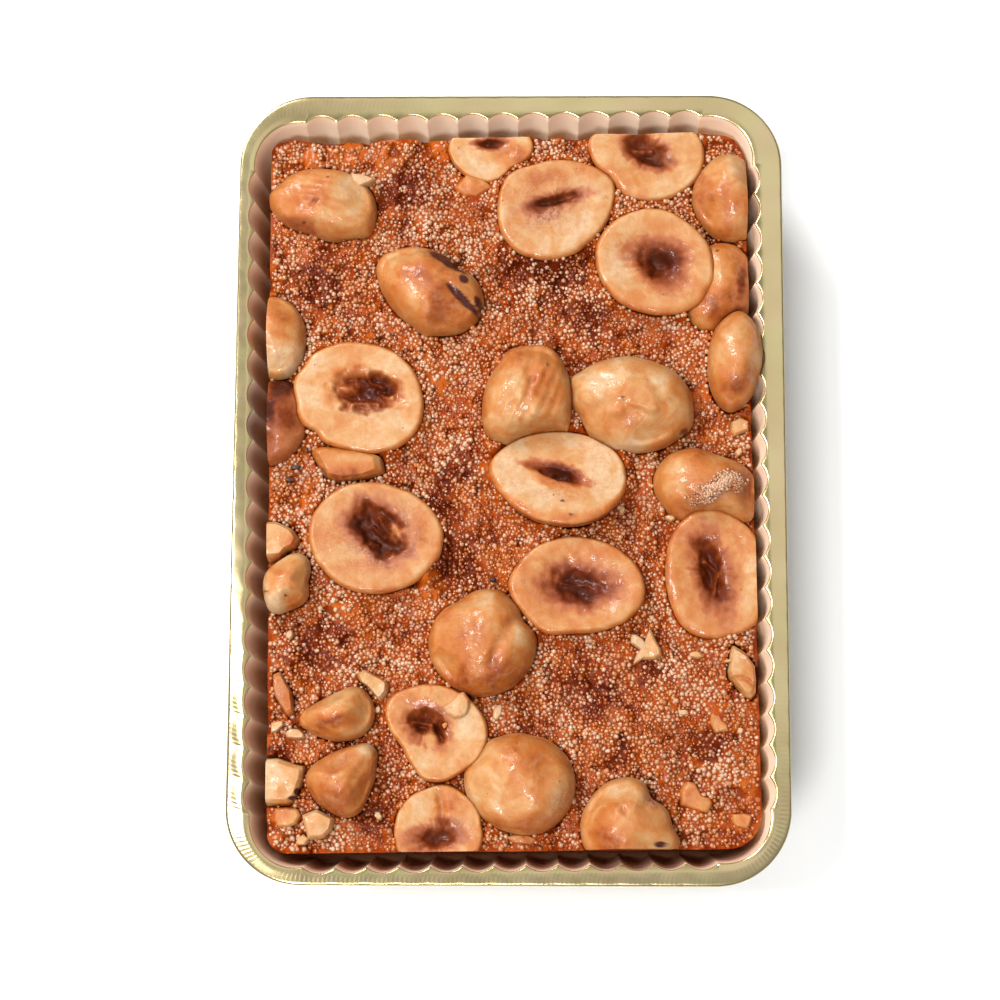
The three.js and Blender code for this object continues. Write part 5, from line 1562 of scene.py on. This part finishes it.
def grain_coat(name, pair):
    """A swollen grain of semolina, each a little different, and tinted where syrup gathered."""
    coat = Finish(name)
    syrup = coat.colours(
        coat.noise(4.0, 2.0, 0.6), (0.4, tint(170, 70, 14)), (0.6, tint(238, 144, 72)),
    )
    return coat.set(
        Base_Color=coat.over(
            coat.mix(coat.painted("tone"), *pair),
            (coat.patchy((4.5, 3.0, 0.6), 0.4, 0.62, 0.0, 0.66), syrup),
            (coat.patchy((0.3, 1.0), 0.35, 0.65, 0.0, 0.22), tint(210, 106, 34)),
        ),
        Roughness=coat.patchy((0.5, 1.0), 0.3, 0.7, 0.16, 0.4),
        Specular_IOR_Level=0.35,
        Coat_Weight=0.5,
        Coat_Roughness=0.06,
        Normal=coat.bump(coat.noise(0.2, 1.0), 0.03, 0.5),
    )


def hazelnut_flesh(name):
    """Roasted hazelnut: cream to orange, through tan and red-brown to nearly black where it
    toasted, with faint fibres, pin-point specks and a thin wet film of syrup."""
    flesh = Finish(name)
    cloud = flesh.patchy((2.8, 3.0, 0.55, 0.6), 0.3, 0.7, -0.17, 0.17)
    body = flesh.colours(
        flesh.math("ADD", flesh.painted("warm"), cloud),
        (0.0, tint(248, 206, 158)), (0.25, tint(240, 178, 112)), (0.5, tint(230, 144, 70)),
        (0.75, tint(212, 112, 34)), (1.0, tint(172, 74, 12)),
    )
    uneven = flesh.patchy((0.7, 3.0, 0.6), 0.3, 0.7, -0.05, 0.05)
    roast = flesh.math("ADD", flesh.painted("roast"), uneven)
    toast = flesh.colours(
        roast,
        (0.1, tint(230, 150, 92)), (0.3, tint(206, 114, 58)), (0.5, tint(164, 78, 30)),
        (0.72, tint(122, 46, 10)), (1.0, tint(82, 26, 4)),
    )
    granules = flesh.patchy((0.35, 2.0, 0.6), 0.4, 0.6)
    purple = flesh.mix(granules, tint(158, 90, 60), tint(232, 176, 140))
    bruise = flesh.math("MULTIPLY", flesh.painted("bruise"), flesh.ramp(roast, 0.3, 0.6, 0.85, 0.1))
    wet = flesh.patchy((1.1, 2.0), 0.45, 0.62, 0.05, 0.5)
    folds = flesh.bump(flesh.noise(1.2, 2.0, 0.5, 0.8), 0.16, 0.5)
    return flesh.set(
        Base_Color=flesh.over(
            body,
            (flesh.patchy((0.8, 4.0, 0.65, 0.3), 0.4, 0.66, 0.0, 0.35), FIBRE),
            (flesh.patchy((1.5, 3.0, 0.6, 0.3), 0.5, 0.75, 0.0, 0.2), PALE_FLESH),
            (flesh.ramp(roast, 0.03, 0.3), toast),
            (bruise, purple),
            (flesh.ramp(flesh.cells(2.8), 0.055, 0.03, 0.0, 0.75), SPECK),
            (flesh.painted("stain"), DARK_SKIN),
        ),
        Roughness=flesh.patchy((1.8, 2.0), 0.35, 0.65, 0.4, 0.6),
        Specular_IOR_Level=flesh.ramp(roast, 0.3, 0.7, 0.3, 0.12),
        Coat_Weight=flesh.math("MULTIPLY", wet, flesh.ramp(roast, 0.3, 0.7, 1.0, 0.5)),
        Coat_Roughness=0.07,
        Coat_Normal=flesh.bump(flesh.noise(0.5, 2.0), 0.07, 0.8),
        Normal=flesh.bump(flesh.noise(0.3, 3.0, 0.65), 0.07, 0.7, folds),
        Subsurface_Weight=flesh.ramp(roast, 0.2, 0.6, 0.42, 0.06),
        Subsurface_Scale=GLOW_DEPTH * MM,
        Subsurface_Radius=GLOW_SPREAD,
    )


def burnt_crumb():
    """Scorched crumbs: blackened purple-brown, with a dull gloss."""
    crumb = Finish("burnt_crumb")
    return crumb.set(
        Base_Color=crumb.colours(
            crumb.noise(0.4, 2.0), (0.35, tint(40, 20, 24)), (0.65, tint(84, 44, 40)),
        ),
        Roughness=crumb.patchy((0.3, 1.0), 0.3, 0.7, 0.3, 0.5),
        Normal=crumb.bump(crumb.noise(0.2, 2.0), 0.05, 0.6),
    )


def studio_paper():
    """The pale sheet that the part stands on."""
    paper = Finish("studio_paper")
    return paper.set(
        Base_Color=paper.colours(
            paper.noise(40.0, 2.0), (0.3, tint(250, 250, 250, 1)), (0.7, tint(252, 252, 252, 1)),
        ),
        Roughness=0.9,
    )


# Studio.

CAMERA_PLACE = (5.17, -61.89, 351.43)
CAMERA_RIGHT = (0.99974, -0.00943, -0.02097)
CAMERA_UP = (0.01296, 0.98443, 0.17527)
CAMERA_BACK = (0.01899, -0.1755, 0.9843)
CAMERA_LENS = 90.0
CAMERA_SENSOR = 36.0
# Soft lights: name, place and size in metres, and power. The last one is the panel overhead
# that the rim mirrors.
LIGHTS = (
    ("key_light", (-0.32, 0.02, 0.58), 0.17, 2.6),
    ("near_light", (-0.1, -0.3, 0.54), 0.16, 2.4),
    ("far_light", (-0.26, 0.36, 0.42), 0.22, 2.7),
    ("back_panel", (0.19, 0.25, 0.64), 0.55, 0.8),
)
LIGHT_AIM = (0, 0, 0.01)
SURROUND = (0.95, 0.98, 1.0, 1)
SURROUND_STRENGTH = 0.36
FLOOR_HALF = 1.5


def stand(name, data, *axes_and_place):
    """Adds a camera or a light, turned by its three axes and set at its place in metres."""
    thing = bpy.data.objects.new(name, data)
    rows = np.column_stack(axes_and_place).tolist()
    thing.matrix_world = Matrix([*rows, [0, 0, 0, 1]])
    bpy.context.scene.collection.objects.link(thing)
    return thing


def add_camera():
    """A long lens high over the part, a little to its near side."""
    lens = bpy.data.cameras.new("camera")
    lens.lens = CAMERA_LENS
    lens.sensor_width = CAMERA_SENSOR
    lens.clip_start = 0.01
    place = np.array(CAMERA_PLACE) * MM
    camera = stand("camera", lens, CAMERA_RIGHT, CAMERA_UP, CAMERA_BACK, place)
    bpy.context.scene.camera = camera


def add_softbox(name, place, size, power):
    """A square soft light at a place in metres, turned towards the part."""
    lamp = bpy.data.lights.new(name, "AREA")
    lamp.shape = "SQUARE"
    lamp.size = size
    lamp.energy = power
    back = np.array(place) - LIGHT_AIM
    back = back / np.linalg.norm(back)
    side = np.cross([0.0, 1.0, 0.001], back)
    side = side / np.linalg.norm(side)
    stand(name, lamp, side, np.cross(back, side), back, place)


def add_studio():
    """A pale floor, an even pale surround, and soft lights."""
    mesh = bpy.data.meshes.new("studio_floor")
    corners = [(x * FLOOR_HALF, y * FLOOR_HALF, 0) for x, y in ((-1, -1), (1, -1), (1, 1), (-1, 1))]
    mesh.from_pydata(corners, [], [(0, 1, 2, 3)])
    mesh.materials.append(studio_paper())
    floor = bpy.data.objects.new("studio_floor", mesh)
    bpy.context.scene.collection.objects.link(floor)
    for light in LIGHTS:
        add_softbox(*light)
    world = bpy.data.worlds.new("surround")
    world.use_nodes = True
    surround = world.node_tree.nodes["Background"]
    surround.inputs["Color"].default_value = SURROUND
    surround.inputs["Strength"].default_value = SURROUND_STRENGTH
    bpy.context.scene.world = world
    bpy.context.scene.view_settings.view_transform = "Standard"


add_camera()
tray_film()
crumb_slab()
scatter_grains()
add_nuts()
add_chips()
add_studio()
